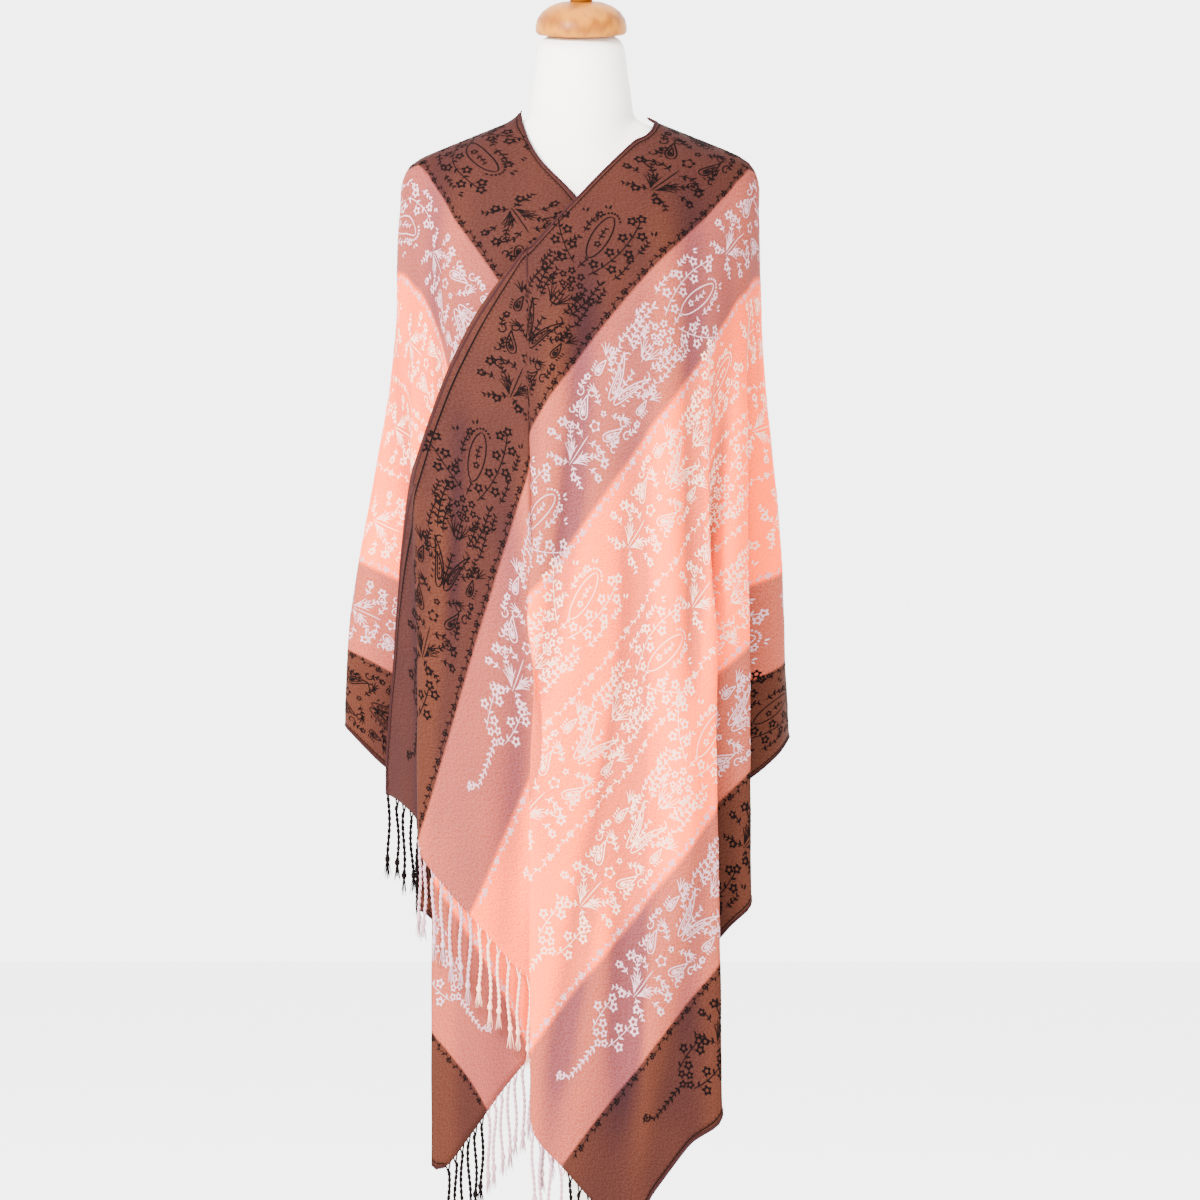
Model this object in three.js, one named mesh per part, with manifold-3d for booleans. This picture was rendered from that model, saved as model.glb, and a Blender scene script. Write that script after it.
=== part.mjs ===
// A pashmina shawl with knotted fringes, draped over the shoulders of a limbless dress form on a
// round base. Millimetres, +Z up, the front towards -Y, the origin under the middle of the base.
import * as THREE from 'three';
import Module from 'manifold-3d';
import { mergeVertices } from 'three/addons/utils/BufferGeometryUtils.js';

const wasm = await Module();
wasm.setup();

// The shawl as it lies flat, and its wall
const SHAWL_WIDTH = 700;
const WALL = 2.2;
const SEAM_GAP = 0.4;
const ROWS = 14;
const ROW_GRADING = 1.2;
const COLUMN_SAMPLES = 60;
const LEAN_STEP = 0.1;
const LEAST_STEP = 0.15;

// The fringe: a narrow edging of the end, and a cord every few millimetres along it
const TASSELS_PER_END = 44;
const EDGING_DEPTH = 10;
const EDGING_GAP = 2.4;
const ROOT_SHARE = 0.7;
const TASSEL_LENGTH = 93;
const TASSEL_SPREAD = 5;
const TASSEL_SIDES = 3;
const TASSEL_SWAY = 1.4;
const CORD_CLEARANCE = 6.6;
const FOLD_CLEARANCE = 0.3;

// Heights at which the plan of the drape is set
const CHEST_Z = 1230;
const HIP_Z = 780;
const LOW_Z = 320;
const CAP_STEP = 30;
const CAP_SLOPE_LIMIT = 0.25;

// Heights between which a fold that is smooth at the chest gains its push aside
const PUSH_FROM_Z = 985;
const PUSH_FULL_Z = 700;

// How far the crossing half stands off the half below it, and the turns between which it lifts
const LAP = 11;
const LAP_FROM = 105;
const LAP_TO = 155;

// The cloth over the shoulders: height, half-widths towards +X and -X, depths in front and behind
const SHOULDER_RINGS = [
  { z: CHEST_Z, right: 187, left: 192, front: 122, back: 112 },
  { z: 1300, right: 186, left: 188, front: 94, back: 99 },
  { z: 1350, right: 179, left: 180, front: 65, back: 79 },
  { z: 1375, right: 134, left: 132, front: 46, back: 62 },
  { z: 1400, right: 74, left: 72, front: 26, back: 44 },
  { z: 1412, right: 63, left: 62, front: 18, back: 34 },
];

// Each fold of a half, from the middle of the back round to the corner of its end: the turn round
// the body at the chest in degrees from the back, the heights of the neck edge and of the lower
// edge, the plan at the hip and low down, the number of columns to the next fold, and the push
// aside that it gains lower down, where it has one
const FOLD_COLUMNS = ['turn', 'top', 'foot', 'hipX', 'hipY', 'lowX', 'lowY', 'steps', 'pushX', 'pushY'];
const OVER_FOLDS = {
  back: [0, 1374, 688, 0, 120, 0, 120, 4],
  blade: [30, 1380, 692, 112, 112, 116, 112, 4],
  backSide: [62, 1394, 716, 196, 72, 204, 72, 4],
  elbow: [92, 1402, 744, 219, 2, 238, 0, 3],
  lobe: [102, 1402, 712, 190, -48, 196, -52, 3],
  turnOne: [108, 1401, 648, 122, -62, 112, -64, 3],
  foldTwo: [114, 1400, 581, 176, -92, 180, -96, 2],
  faceTwo: [120, 1399, 542, 150, -108, 152, -112, 3],
  turnTwo: [128, 1398, 452, 88, -114, 68, -114, 3],
  foldOne: [138, 1397, 360, 140, -136, 148, -138, 2],
  faceOne: [148, 1394, 322, 108, -150, 112, -152, 2],
  apex: [158, 1382, 275, 76, -158, 76, -160, 2],
  tip: [166, 1368, 238, 52, -162, 48, -165, 3],
  front: [185, 1301, 297, -14, -172, -14, -176, 4],
  foldThree: [194, 1267, 355, -44, -162, -40, -163, 4, -10, -6],
  turnThree: [196, 1262, 427, -49, -159, -48, -160, 3, 82, 5],
  underThree: [198, 1256, 497, -56, -157, -56, -156, 3, 0, 20],
  left: [213, 1190, 549, -104, -139, -104, -136, 3],
  leftSide: [230, 1095, 591, -142, -130, -142, -128, 2],
  foldFour: [238, 1043, 626, -168, -113, -168, -111, 2],
  strip: [244, 1015, 658, -172, -97, -171, -95, 3],
  stripMiddle: [252, 922, 676, -188, -74, -186, -72, 3],
  stripEdge: [260, 775, 684, -202, -50, -200, -48, 2],
  corner: [263, 708, 684, -206, -44, -204, -42, 0],
};
const UNDER_FOLDS = {
  back: [0, 1374, 688, 0, 120, 0, 120, 4],
  blade: [30, 1380, 694, 118, 112, 124, 112, 4],
  backSide: [62, 1396, 724, 212, 72, 222, 72, 4],
  elbow: [92, 1409, 757, 246, 2, 266, 0, 3],
  lobe: [102, 1409, 720, 214, -22, 218, -24, 3],
  turnOne: [108, 1408, 648, 138, -28, 130, -32, 3],
  foldTwo: [114, 1407, 571, 172, -60, 174, -66, 2],
  faceTwo: [119, 1406, 549, 152, -75, 155, -80, 3],
  turnTwo: [127, 1405, 425, 84, -80, 60, -84, 3],
  foldOne: [136, 1404, 310, 149, -103, 151, -105, 2],
  tip: [141, 1402, 297, 140, -113, 142, -115, 2],
  faceOne: [149, 1399, 336, 110, -119, 112, -120, 2],
  lap: [159, 1388, 384, 74, -122, 78, -122, 2],
  lapTwo: [168, 1352, 424, 40, -125, 42, -125, 4],
  pleatOut: [178, 1318, 478, -20, -117, -24, -113, 4],
  pleatIn: [182, 1296, 514, 40, -104, 42, -99, 3],
  far: [194, 1230, 566, -48, -96, -50, -90, 3],
  farSide: [206, 1110, 598, -78, -92, -79, -87, 3],
  farEdge: [216, 860, 616, -96, -84, -97, -82, 2],
  corner: [219, 700, 622, -108, -80, -108, -78, 0],
};
const OVER = { side: 1, lap: LAP, folds: readFolds(OVER_FOLDS), sharp: ['foldThree', 'turnThree'] };
const UNDER = { side: -1, lap: 0, folds: readFolds(UNDER_FOLDS), sharp: ['pleatOut', 'pleatIn'] };

// The bands across an end from its hem to its neck edge, with the colour of their cords
const FRINGE_RUNS = [
  { name: 'low_brown', from: 0, to: 100, finish: 'blackCord' },
  { name: 'low_mauve', from: 100, to: 200, finish: 'greyCord' },
  { name: 'peach', from: 200, to: 500, finish: 'creamCord' },
  { name: 'high_mauve', from: 500, to: 600, finish: 'greyCord' },
  { name: 'high_brown', from: 600, to: 700, finish: 'blackCord' },
];

// A cord's half-thickness at shares of its length: plain, a knot, a loose tail
const CORD_PROFILE = [
  { share: 0, half: 1.7 },
  { share: 0.7, half: 1.7 },
  { share: 0.77, half: 2.7 },
  { share: 0.83, half: 1.9 },
  { share: 1, half: 2.6 },
];

// The dress form
const NECK_TOP = 1491;
const NECK_TILT = 8 * Math.PI / 180;
const NECK_TILT_FROM = 1400;
const TORSO_SIDES = 32;
const ROUND_SIDES = 40;
const BLEND_POWER = 12;
const TORSO_RINGS = [
  { z: 860, width: 112, front: 70, back: 78 },
  { z: 866, width: 124, front: 80, back: 88 },
  { z: 890, width: 131, front: 85, back: 94 },
  { z: 940, width: 128, front: 86, back: 92 },
  { z: 1000, width: 124, front: 86, back: 86 },
  { z: 1100, width: 142, front: 98, back: 92 },
  { z: 1200, width: 163, front: 113, back: 102 },
  { z: 1260, width: 170, front: 104, back: 100 },
  { z: 1300, width: 176, front: 87, back: 92 },
  { z: 1330, width: 176, front: 71, back: 79 },
  { z: 1350, width: 165, front: 56, back: 66 },
  { z: 1363, width: 143, front: 46, back: 57 },
  { z: 1375, width: 118, front: 38, back: 50 },
  { z: 1388, width: 90, front: 29, back: 42 },
  { z: 1400, width: 56, front: 20, back: 32 },
];
const NECK_RINGS = [
  { z: 1330, width: 56, front: 40, back: 40 },
  { z: 1360, width: 56, front: 47, back: 44 },
  { z: 1405, width: 55.5, front: 47.5, back: 45 },
  { z: 1431, width: 53, front: 47, back: 45 },
  { z: 1455, width: 48.5, front: 46, back: 45 },
  { z: NECK_TOP, width: 47, front: 46, back: 46 },
];
const TORSO_HEIGHTS = [860, 866, 876, 890, 915, 945, 1000, 1050, 1100, 1150, 1200, 1235, 1265, 1290,
  1312, 1330, 1342, 1352, 1361, 1370, 1380, 1390, 1399, 1406, 1418, 1431, 1455, NECK_TOP];
const CAP_RADIUS = 48.5;
const CAP_EDGE = 8;
const CAP_HEIGHT = 35;
const CAP_STEPS = 5;
const FINIAL_RADIUS = 12;
const FINIAL_HEIGHT = 30;
const POLE_RADIUS = 12.5;
const BASE_RADIUS = 150;
const BASE_EDGE = 8;
const BASE_HEIGHT = 26;
const PIECE_GAP = 0.4;

const FINISHES = {
  cloth: { color: 0xb07a5c, roughness: 0.85, metalness: 0 },
  blackCord: { color: 0x1d1917, roughness: 0.8, metalness: 0 },
  greyCord: { color: 0x93879b, roughness: 0.8, metalness: 0 },
  creamCord: { color: 0xe9dfd3, roughness: 0.8, metalness: 0 },
  linen: { color: 0xe4dccb, roughness: 0.9, metalness: 0 },
  wood: { color: 0xa9713c, roughness: 0.45, metalness: 0 },
  paintedSteel: { color: 0xd9d4c9, roughness: 0.4, metalness: 0.1 },
};

// Turns the named rows of a fold table into objects with named values.
function readFolds(table) {
  return Object.entries(table).map(([name, row]) => {
    const fold = { name };
    FOLD_COLUMNS.forEach((column, index) => {
      fold[column] = row[index] ?? 0;
    });
    return fold;
  });
}

function smoothStep(share) {
  const held = Math.min(Math.max(share, 0), 1);
  return held * held * (3 - 2 * held);
}

// A cubic through two values with the given slopes over a span, at a share of the span.
function hermite(start, startSlope, end, endSlope, span, share) {
  const square = share * share;
  const cube = square * share;
  return (2 * cube - 3 * square + 1) * start + (cube - 2 * square + share) * span * startSlope
    + (3 * square - 2 * cube) * end + (cube - square) * span * endSlope;
}

// A smooth reading of a table of rings at a height, held at its ends.
function readRings(rings, z, key) {
  const last = rings.length - 1;
  if (z <= rings[0].z) {
    return rings[0][key];
  }
  if (z >= rings[last].z) {
    return rings[last][key];
  }
  let low = 0;
  while (z > rings[low + 1].z) {
    low += 1;
  }
  const slope = (index) => {
    const before = Math.max(index - 1, 0);
    const after = Math.min(index + 1, last);
    return (rings[after][key] - rings[before][key]) / (rings[after].z - rings[before].z);
  };
  const span = rings[low + 1].z - rings[low].z;
  const share = (z - rings[low].z) / span;
  return hermite(rings[low][key], slope(low), rings[low + 1][key], slope(low + 1), span, share);
}

// The plan place on the shoulders at a turn round the body and a height.
function shoulderPlan(half, turn, z) {
  const angle = turn * Math.PI / 180;
  const lap = half.lap * smoothStep((turn - LAP_FROM) / (LAP_TO - LAP_FROM));
  const onRight = (Math.sin(angle) >= 0) === (half.side > 0);
  const widthKey = onRight ? 'right' : 'left';
  const width = readRings(SHOULDER_RINGS, z, widthKey) + lap;
  const chest = SHOULDER_RINGS[0][widthKey] + lap;
  const turned = Math.atan2(chest * Math.sin(angle), width * Math.cos(angle));
  const depthKey = Math.cos(turned) > 0 ? 'back' : 'front';
  const depth = readRings(SHOULDER_RINGS, z, depthKey) + lap;
  return { x: width * Math.sin(turned), y: depth * Math.cos(turned) };
}

// The values of a half's folds at a place between them, on a smooth curve through the table.
function foldAt(half, place) {
  const { folds } = half;
  const index = Math.min(Math.max(Math.floor(place), 0), folds.length - 2);
  const share = place - index;
  const second = folds[1];
  const last = folds[folds.length - 1];
  const nextToLast = folds[folds.length - 2];
  const beforeFirst = { ...second, turn: -second.turn, hipX: -second.hipX, lowX: -second.lowX };
  const values = {};
  for (const key of FOLD_COLUMNS) {
    const a = index === 0 ? beforeFirst[key] : folds[index - 1][key];
    const b = folds[index][key];
    const c = folds[index + 1][key];
    const d = index + 2 < folds.length ? folds[index + 2][key] : 2 * last[key] - nextToLast[key];
    values[key] = hermite(b, (c - a) / 2, c, (d - b) / 2, 1, share);
  }
  return values;
}

// A place on the drape at given fold values and height, before the half is mirrored.
function drapePlan(half, fold, z) {
  if (z >= CHEST_Z) {
    return shoulderPlan(half, fold.turn, z);
  }
  const chest = shoulderPlan(half, fold.turn, CHEST_Z);
  const above = shoulderPlan(half, fold.turn, CHEST_Z + CAP_STEP);
  const pushed = smoothStep((PUSH_FROM_Z - z) / (PUSH_FROM_Z - PUSH_FULL_Z));
  const axis = (key, hip, low) => {
    const upperSpan = CHEST_Z - HIP_Z;
    const lowerSpan = HIP_Z - LOW_Z;
    const slope = (chest[key] - above[key]) / CAP_STEP;
    const chestSlope = Math.min(Math.max(slope, -CAP_SLOPE_LIMIT), CAP_SLOPE_LIMIT);
    const lowSlope = (low - hip) / lowerSpan;
    const hipSlope = ((hip - chest[key]) / upperSpan + lowSlope) / 2;
    if (z >= HIP_Z) {
      return hermite(chest[key], chestSlope, hip, hipSlope, upperSpan, (CHEST_Z - z) / upperSpan);
    }
    return hermite(hip, hipSlope, low, lowSlope, lowerSpan, (HIP_Z - z) / lowerSpan);
  };
  return {
    x: axis('x', fold.hipX, fold.lowX) + pushed * fold.pushX,
    y: axis('y', fold.hipY, fold.lowY) + pushed * fold.pushY,
  };
}

// The places down one column of a half, at the given shares of its length; short leaves off a
// part of its foot, and a share past 1 counts millimetres beyond what is left.
function columnPoints(half, place, shares, short) {
  const fold = foldAt(half, place);
  const points = [];
  const run = [0];
  for (let k = 0; k <= COLUMN_SAMPLES; k += 1) {
    const z = fold.top + (fold.foot - fold.top) * (k / COLUMN_SAMPLES) ** ROW_GRADING;
    const plan = drapePlan(half, fold, z);
    points.push(new THREE.Vector3(half.side * plan.x, plan.y, z));
    if (k > 0) {
      run.push(run[k - 1] + points[k].distanceTo(points[k - 1]));
    }
  }
  const length = run[COLUMN_SAMPLES] - short;
  return shares.map((share) => {
    const wanted = share <= 1 ? share * length : length + (share - 1);
    let k = 1;
    while (k < COLUMN_SAMPLES && run[k] < wanted) {
      k += 1;
    }
    const part = (wanted - run[k - 1]) / (run[k] - run[k - 1]);
    return points[k - 1].clone().lerp(points[k], part);
  });
}

// A column of the cloth: its places, the way along the cloth at each (round the body from the back
// by +X) and the way outward.
function clothColumn(half, place, shares, short = 0) {
  const points = columnPoints(half, place, shares, short);
  const before = columnPoints(half, place - LEAN_STEP, shares, short);
  const after = columnPoints(half, place + LEAN_STEP, shares, short);
  const along = points.map((_, row) => after[row].clone().sub(before[row])
    .multiplyScalar(half.side).normalize());
  const outward = points.map((_, row) => {
    const lower = points[Math.min(row + 1, points.length - 1)];
    const down = lower.clone().sub(points[Math.max(row - 1, 0)]);
    return along[row].clone().cross(down).normalize();
  });
  return { points, along, outward };
}

// The places of the columns between two folds named in the table, both counted.
function columnPlaces(half, fromName, toName) {
  const from = half.folds.findIndex((fold) => fold.name === fromName);
  const to = half.folds.findIndex((fold) => fold.name === toName);
  const places = [];
  for (let index = from; index < to; index += 1) {
    const { steps } = half.folds[index];
    for (let k = 0; k < steps; k += 1) {
      places.push(index + k / steps);
    }
  }
  places.push(to);
  return places;
}

function rowShares() {
  return Array.from({ length: ROWS + 1 }, (_, row) => (row / ROWS) ** ROW_GRADING);
}

// A closed wall about columns of the cloth that run round the body from the back by +X, drawn
// back along the cloth at both ends by half the gap of a seam.
function wallGeometry(cloth, thickness) {
  const columns = cloth.length;
  const rows = cloth[0].points.length;
  const vertices = [];
  const triangles = [];
  for (const side of [1, -1]) {
    for (let i = 0; i < columns; i += 1) {
      const { points, along, outward } = cloth[i];
      const draw = { 0: SEAM_GAP / 2, [columns - 1]: -SEAM_GAP / 2 }[i] ?? 0;
      for (let j = 0; j < rows; j += 1) {
        const place = points[j].clone().addScaledVector(along[j], draw)
          .addScaledVector(outward[j], side * thickness / 2);
        vertices.push(place.x, place.y, place.z);
      }
    }
  }
  const outer = (i, j) => i * rows + j;
  const inner = (i, j) => columns * rows + i * rows + j;
  const quad = (a, b, c, d) => {
    triangles.push(a, b, c, a, c, d);
  };
  for (let i = 0; i + 1 < columns; i += 1) {
    for (let j = 0; j + 1 < rows; j += 1) {
      quad(outer(i, j), outer(i + 1, j), outer(i + 1, j + 1), outer(i, j + 1));
      quad(inner(i, j), inner(i, j + 1), inner(i + 1, j + 1), inner(i + 1, j));
    }
    quad(outer(i, 0), inner(i, 0), inner(i + 1, 0), outer(i + 1, 0));
    quad(outer(i, rows - 1), outer(i + 1, rows - 1), inner(i + 1, rows - 1), inner(i, rows - 1));
  }
  for (let j = 0; j + 1 < rows; j += 1) {
    quad(outer(0, j), outer(0, j + 1), inner(0, j + 1), inner(0, j));
    quad(outer(columns - 1, j), inner(columns - 1, j), inner(columns - 1, j + 1),
      outer(columns - 1, j + 1));
  }
  return closedGeometry(vertices, triangles);
}

function closedGeometry(vertices, triangles) {
  const geometry = new THREE.BufferGeometry();
  geometry.setAttribute('position', new THREE.Float32BufferAttribute(vertices, 3));
  geometry.setIndex(triangles);
  return geometry;
}

// A closed skin over rings of places, each running the same way round seen from above, the lowest
// ring first.
function loftGeometry(rings) {
  const sides = rings[0].length;
  const vertices = [];
  const triangles = [];
  for (const ring of rings) {
    for (const point of ring) {
      vertices.push(point.x, point.y, point.z);
    }
  }
  for (let level = 0; level + 1 < rings.length; level += 1) {
    for (let k = 0; k < sides; k += 1) {
      const next = (k + 1) % sides;
      const low = level * sides;
      const high = low + sides;
      triangles.push(low + k, low + next, high + next, low + k, high + next, high + k);
    }
  }
  for (const [level, turned] of [[0, true], [rings.length - 1, false]]) {
    const middle = new THREE.Vector3();
    rings[level].forEach((point) => middle.addScaledVector(point, 1 / sides));
    const centre = vertices.length / 3;
    vertices.push(middle.x, middle.y, middle.z);
    for (let k = 0; k < sides; k += 1) {
      const a = level * sides + k;
      const b = level * sides + (k + 1) % sides;
      triangles.push(...(turned ? [centre, b, a] : [centre, a, b]));
    }
  }
  return closedGeometry(vertices, triangles);
}

function toManifold(geometry) {
  const bare = geometry.clone();
  bare.deleteAttribute('normal');
  bare.deleteAttribute('uv');
  const merged = mergeVertices(bare, 1e-4);
  return new wasm.Manifold(new wasm.Mesh({
    numProp: 3,
    vertProperties: new Float32Array(merged.attributes.position.array),
    triVerts: new Uint32Array(merged.index.array),
  }));
}

function fromManifold(solid) {
  const mesh = solid.getMesh();
  return closedGeometry(Array.from(mesh.vertProperties), Array.from(mesh.triVerts));
}

function makeMesh(name, geometry, finish) {
  geometry.computeVertexNormals();
  const mesh = new THREE.Mesh(geometry, new THREE.MeshStandardMaterial(FINISHES[finish]));
  mesh.name = name;
  return mesh;
}

// The columns of a stretch of one half, in the order that runs round the body.
function stretchColumns(half, places, short = 0) {
  const shares = rowShares();
  const columns = places.map((place) => clothColumn(half, place, shares, short));
  return half.side > 0 ? columns : columns.reverse();
}

// The back: both halves from its middle out to the backs of the shoulders.
function makeBack() {
  const left = stretchColumns(UNDER, columnPlaces(UNDER, 'back', 'backSide'));
  const right = stretchColumns(OVER, columnPlaces(OVER, 'back', 'backSide')).slice(1);
  return makeMesh('shawl_back', wallGeometry([...left, ...right], WALL), 'cloth');
}

// The folds that fall from a shoulder, down to the hem's tip.
function makeFolds(name, half) {
  const columns = stretchColumns(half, columnPlaces(half, 'backSide', 'tip'));
  return makeMesh(name, wallGeometry(columns, WALL), 'cloth');
}

// The panel of an end, from the hem's tip to the corner of the neck edge, short of its fringe.
function makePanel(name, half, edge) {
  const columns = stretchColumns(half, endPlaces(half, edge), EDGING_DEPTH);
  return makeMesh(name, wallGeometry(columns, WALL), 'cloth');
}

// The end edge of a half from its hem tip to its corner: the places of closely set columns, with
// the run of the edge up to each.
function endEdge(half) {
  const tip = half.folds.findIndex((fold) => fold.name === 'tip');
  const last = half.folds.length - 1;
  const samples = 240;
  const edge = [];
  let run = 0;
  for (let k = 0; k <= samples; k += 1) {
    const place = tip + (last - tip) * k / samples;
    const foot = columnPoints(half, place, [1], 0)[0];
    run += k > 0 ? foot.distanceTo(edge[k - 1].foot) : 0;
    edge.push({ place, foot, run });
  }
  return edge;
}

// The column whose foot lies at a share of the end edge.
function placeAlongEnd(edge, share) {
  const wanted = share * edge[edge.length - 1].run;
  let k = 1;
  while (k < edge.length - 1 && edge[k].run < wanted) {
    k += 1;
  }
  const part = (wanted - edge[k - 1].run) / (edge[k].run - edge[k - 1].run);
  return edge[k - 1].place + part * (edge[k].place - edge[k - 1].place);
}

// The places of the columns of an end, with those where the colour of its cords changes.
function endPlaces(half, edge) {
  const cuts = FRINGE_RUNS.slice(1).map((run) => placeAlongEnd(edge, run.from / SHAWL_WIDTH));
  const kept = columnPlaces(half, 'tip', 'corner')
    .filter((place) => cuts.every((cut) => Math.abs(place - cut) > LEAST_STEP));
  return [...kept, ...cuts].sort((a, b) => a - b);
}

// A cord that hangs from a root place.
function cordGeometry(root, length, swayX, swayY) {
  const rings = CORD_PROFILE.map(({ share, half }) => {
    const ring = [];
    for (let k = 0; k < TASSEL_SIDES; k += 1) {
      const angle = (k + 0.5) / TASSEL_SIDES * 2 * Math.PI;
      ring.push(new THREE.Vector3(
        root.x + swayX * share ** 2 + half * Math.cos(angle),
        root.y + swayY * share ** 2 + half * Math.sin(angle),
        root.z - length * share,
      ));
    }
    return ring;
  });
  return loftGeometry(rings.reverse());
}

// A column of the edging below a panel, leaning as the panel's foot does.
function edgingColumn(half, place, reach) {
  const above = rowShares()[ROWS - 1];
  const { points, along, outward } = clothColumn(half, place, [above, 1, 1 + reach], reach);
  const lean = outward[1];
  return { points: points.slice(1), along: [along[1], along[1]], outward: [lean, lean] };
}

// Whether a place on an end stands clear of the folds where the cloth doubles back sharply.
function clearOfFolds(half, place) {
  return half.folds.every((fold, index) => !half.sharp.includes(fold.name)
    || Math.abs(place - index) > FOLD_CLEARANCE);
}

// One colour run of an end's fringe: a narrow edging of the cloth with its cords. At a sharp fold
// a cord that would hang against the one before it is left out.
function makeFringe(half, edge, run, endName) {
  const fromPlace = placeAlongEnd(edge, run.from / SHAWL_WIDTH) - 1e-6;
  const toPlace = placeAlongEnd(edge, run.to / SHAWL_WIDTH) + 1e-6;
  const reach = EDGING_DEPTH - EDGING_GAP;
  const places = endPlaces(half, edge).filter((place) => place > fromPlace && place < toPlace);
  const columns = places.map((place) => edgingColumn(half, place, reach));
  const rootAt = (place) => {
    const next = Math.max(places.findIndex((other) => other >= place), 1);
    const share = (place - places[next - 1]) / (places[next] - places[next - 1]);
    const [before, after] = [next - 1, next].map((index) => {
      const { points } = edgingColumn(half, places[index], reach);
      return points[0].clone().lerp(points[1], ROOT_SHARE);
    });
    return before.lerp(after, share);
  };
  if (half.side < 0) {
    columns.reverse();
  }
  let solid = toManifold(wallGeometry(columns, WALL));
  const pitch = SHAWL_WIDTH / TASSELS_PER_END;
  let lastRoot = null;
  for (let k = 0; k < TASSELS_PER_END; k += 1) {
    const along = (k + 0.5) * pitch;
    if (along > run.from + pitch / 3 && along < run.to - pitch / 3) {
      const place = placeAlongEnd(edge, along / SHAWL_WIDTH);
      const root = rootAt(place);
      const apart = lastRoot ? Math.hypot(root.x - lastRoot.x, root.y - lastRoot.y) : Infinity;
      if (apart > CORD_CLEARANCE && clearOfFolds(half, place)) {
        const swayX = TASSEL_SWAY * Math.sin(k * 2.4);
        const swayY = -TASSEL_SWAY * (0.4 + 0.4 * Math.cos(k * 1.7));
        const length = TASSEL_LENGTH + TASSEL_SPREAD * Math.sin(k * 3.1);
        solid = solid.add(toManifold(cordGeometry(root, length, swayX, swayY)));
        lastRoot = root;
      }
    }
  }
  return makeMesh(`${endName}_fringe_${run.name}`, fromManifold(solid), run.finish);
}

// A ring of the torso: the outline of the body blended with that of the neck.
function torsoRing(z) {
  const ring = [];
  const radius = (rings, angle) => {
    const width = readRings(rings, z, 'width');
    const depth = readRings(rings, z, Math.sin(angle) > 0 ? 'back' : 'front');
    return 1 / Math.hypot(Math.cos(angle) / width, Math.sin(angle) / depth);
  };
  for (let k = 0; k < TORSO_SIDES; k += 1) {
    const angle = k / TORSO_SIDES * 2 * Math.PI;
    const inBody = z <= TORSO_RINGS[TORSO_RINGS.length - 1].z;
    const inNeck = z >= NECK_RINGS[0].z;
    const body = inBody ? radius(TORSO_RINGS, angle) : 0;
    const neck = inNeck ? radius(NECK_RINGS, angle) : 0;
    const reach = (body ** BLEND_POWER + neck ** BLEND_POWER) ** (1 / BLEND_POWER);
    const y = reach * Math.sin(angle);
    const tilt = smoothStep((z - NECK_TILT_FROM) / (NECK_TOP - NECK_TILT_FROM));
    ring.push(new THREE.Vector3(reach * Math.cos(angle), y, z + tilt * y * Math.tan(NECK_TILT)));
  }
  return ring;
}

function makeTorso() {
  return makeMesh('form_torso', loftGeometry(TORSO_HEIGHTS.map(torsoRing)), 'linen');
}

function turnedPiece(name, profile, sides, finish) {
  const points = profile.map(([radius, height]) => new THREE.Vector2(radius, height));
  const geometry = new THREE.LatheGeometry(points, sides);
  geometry.deleteAttribute('normal');
  geometry.deleteAttribute('uv');
  const merged = mergeVertices(geometry, 1e-4);
  merged.rotateX(Math.PI / 2);
  return makeMesh(name, merged, finish);
}

// The wooden cap and finial, set square to the tilted top of the neck.
function makeNeckFittings() {
  const group = new THREE.Group();
  const dome = [];
  for (let k = 0; k <= CAP_STEPS; k += 1) {
    const angle = k / CAP_STEPS * Math.PI / 2;
    const height = CAP_EDGE + (CAP_HEIGHT - CAP_EDGE) * Math.sin(angle);
    dome.push([FINIAL_RADIUS + (CAP_RADIUS - FINIAL_RADIUS) * Math.cos(angle), height]);
  }
  const cap = [[0, PIECE_GAP], [CAP_RADIUS - 2, PIECE_GAP], [CAP_RADIUS, 3], ...dome,
    [0, CAP_HEIGHT]];
  const foot = CAP_HEIGHT + PIECE_GAP;
  const top = foot + FINIAL_HEIGHT;
  const finial = [[0, foot], [FINIAL_RADIUS, foot], [FINIAL_RADIUS, foot + 9],
    [FINIAL_RADIUS + 2, foot + 13], [FINIAL_RADIUS + 2, foot + 19], [FINIAL_RADIUS - 2, top - 4],
    [FINIAL_RADIUS - 6, top - 1], [0, top]];
  group.add(turnedPiece('form_neck_cap', cap, ROUND_SIDES, 'wood'));
  group.add(turnedPiece('form_finial', finial, 24, 'wood'));
  group.position.set(0, 0, NECK_TOP);
  group.rotation.x = NECK_TILT;
  return group;
}

function makeStand() {
  const group = new THREE.Group();
  const poleFoot = BASE_HEIGHT + PIECE_GAP;
  const poleTop = TORSO_RINGS[0].z - PIECE_GAP;
  const pole = [[0, poleFoot], [POLE_RADIUS, poleFoot], [POLE_RADIUS, poleTop], [0, poleTop]];
  const base = [[0, 0], [BASE_RADIUS - 2, 0], [BASE_RADIUS, 2], [BASE_RADIUS, BASE_EDGE],
    [BASE_RADIUS - 8, BASE_EDGE + 4], [BASE_RADIUS * 0.6, BASE_EDGE + 9], [44, BASE_EDGE + 12],
    [30, BASE_HEIGHT], [0, BASE_HEIGHT]];
  group.add(turnedPiece('stand_pole', pole, 24, 'paintedSteel'));
  group.add(turnedPiece('stand_base', base, 48, 'paintedSteel'));
  return group;
}

const shawl = new THREE.Group();
shawl.add(makeBack());
for (const [half, sideName, endName] of [[OVER, 'right', 'over'], [UNDER, 'left', 'under']]) {
  const edge = endEdge(half);
  shawl.add(makeFolds(`shawl_${sideName}_folds`, half));
  shawl.add(makePanel(`shawl_${endName}_panel`, half, edge));
  for (const run of FRINGE_RUNS) {
    shawl.add(makeFringe(half, edge, run, endName));
  }
}

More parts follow.
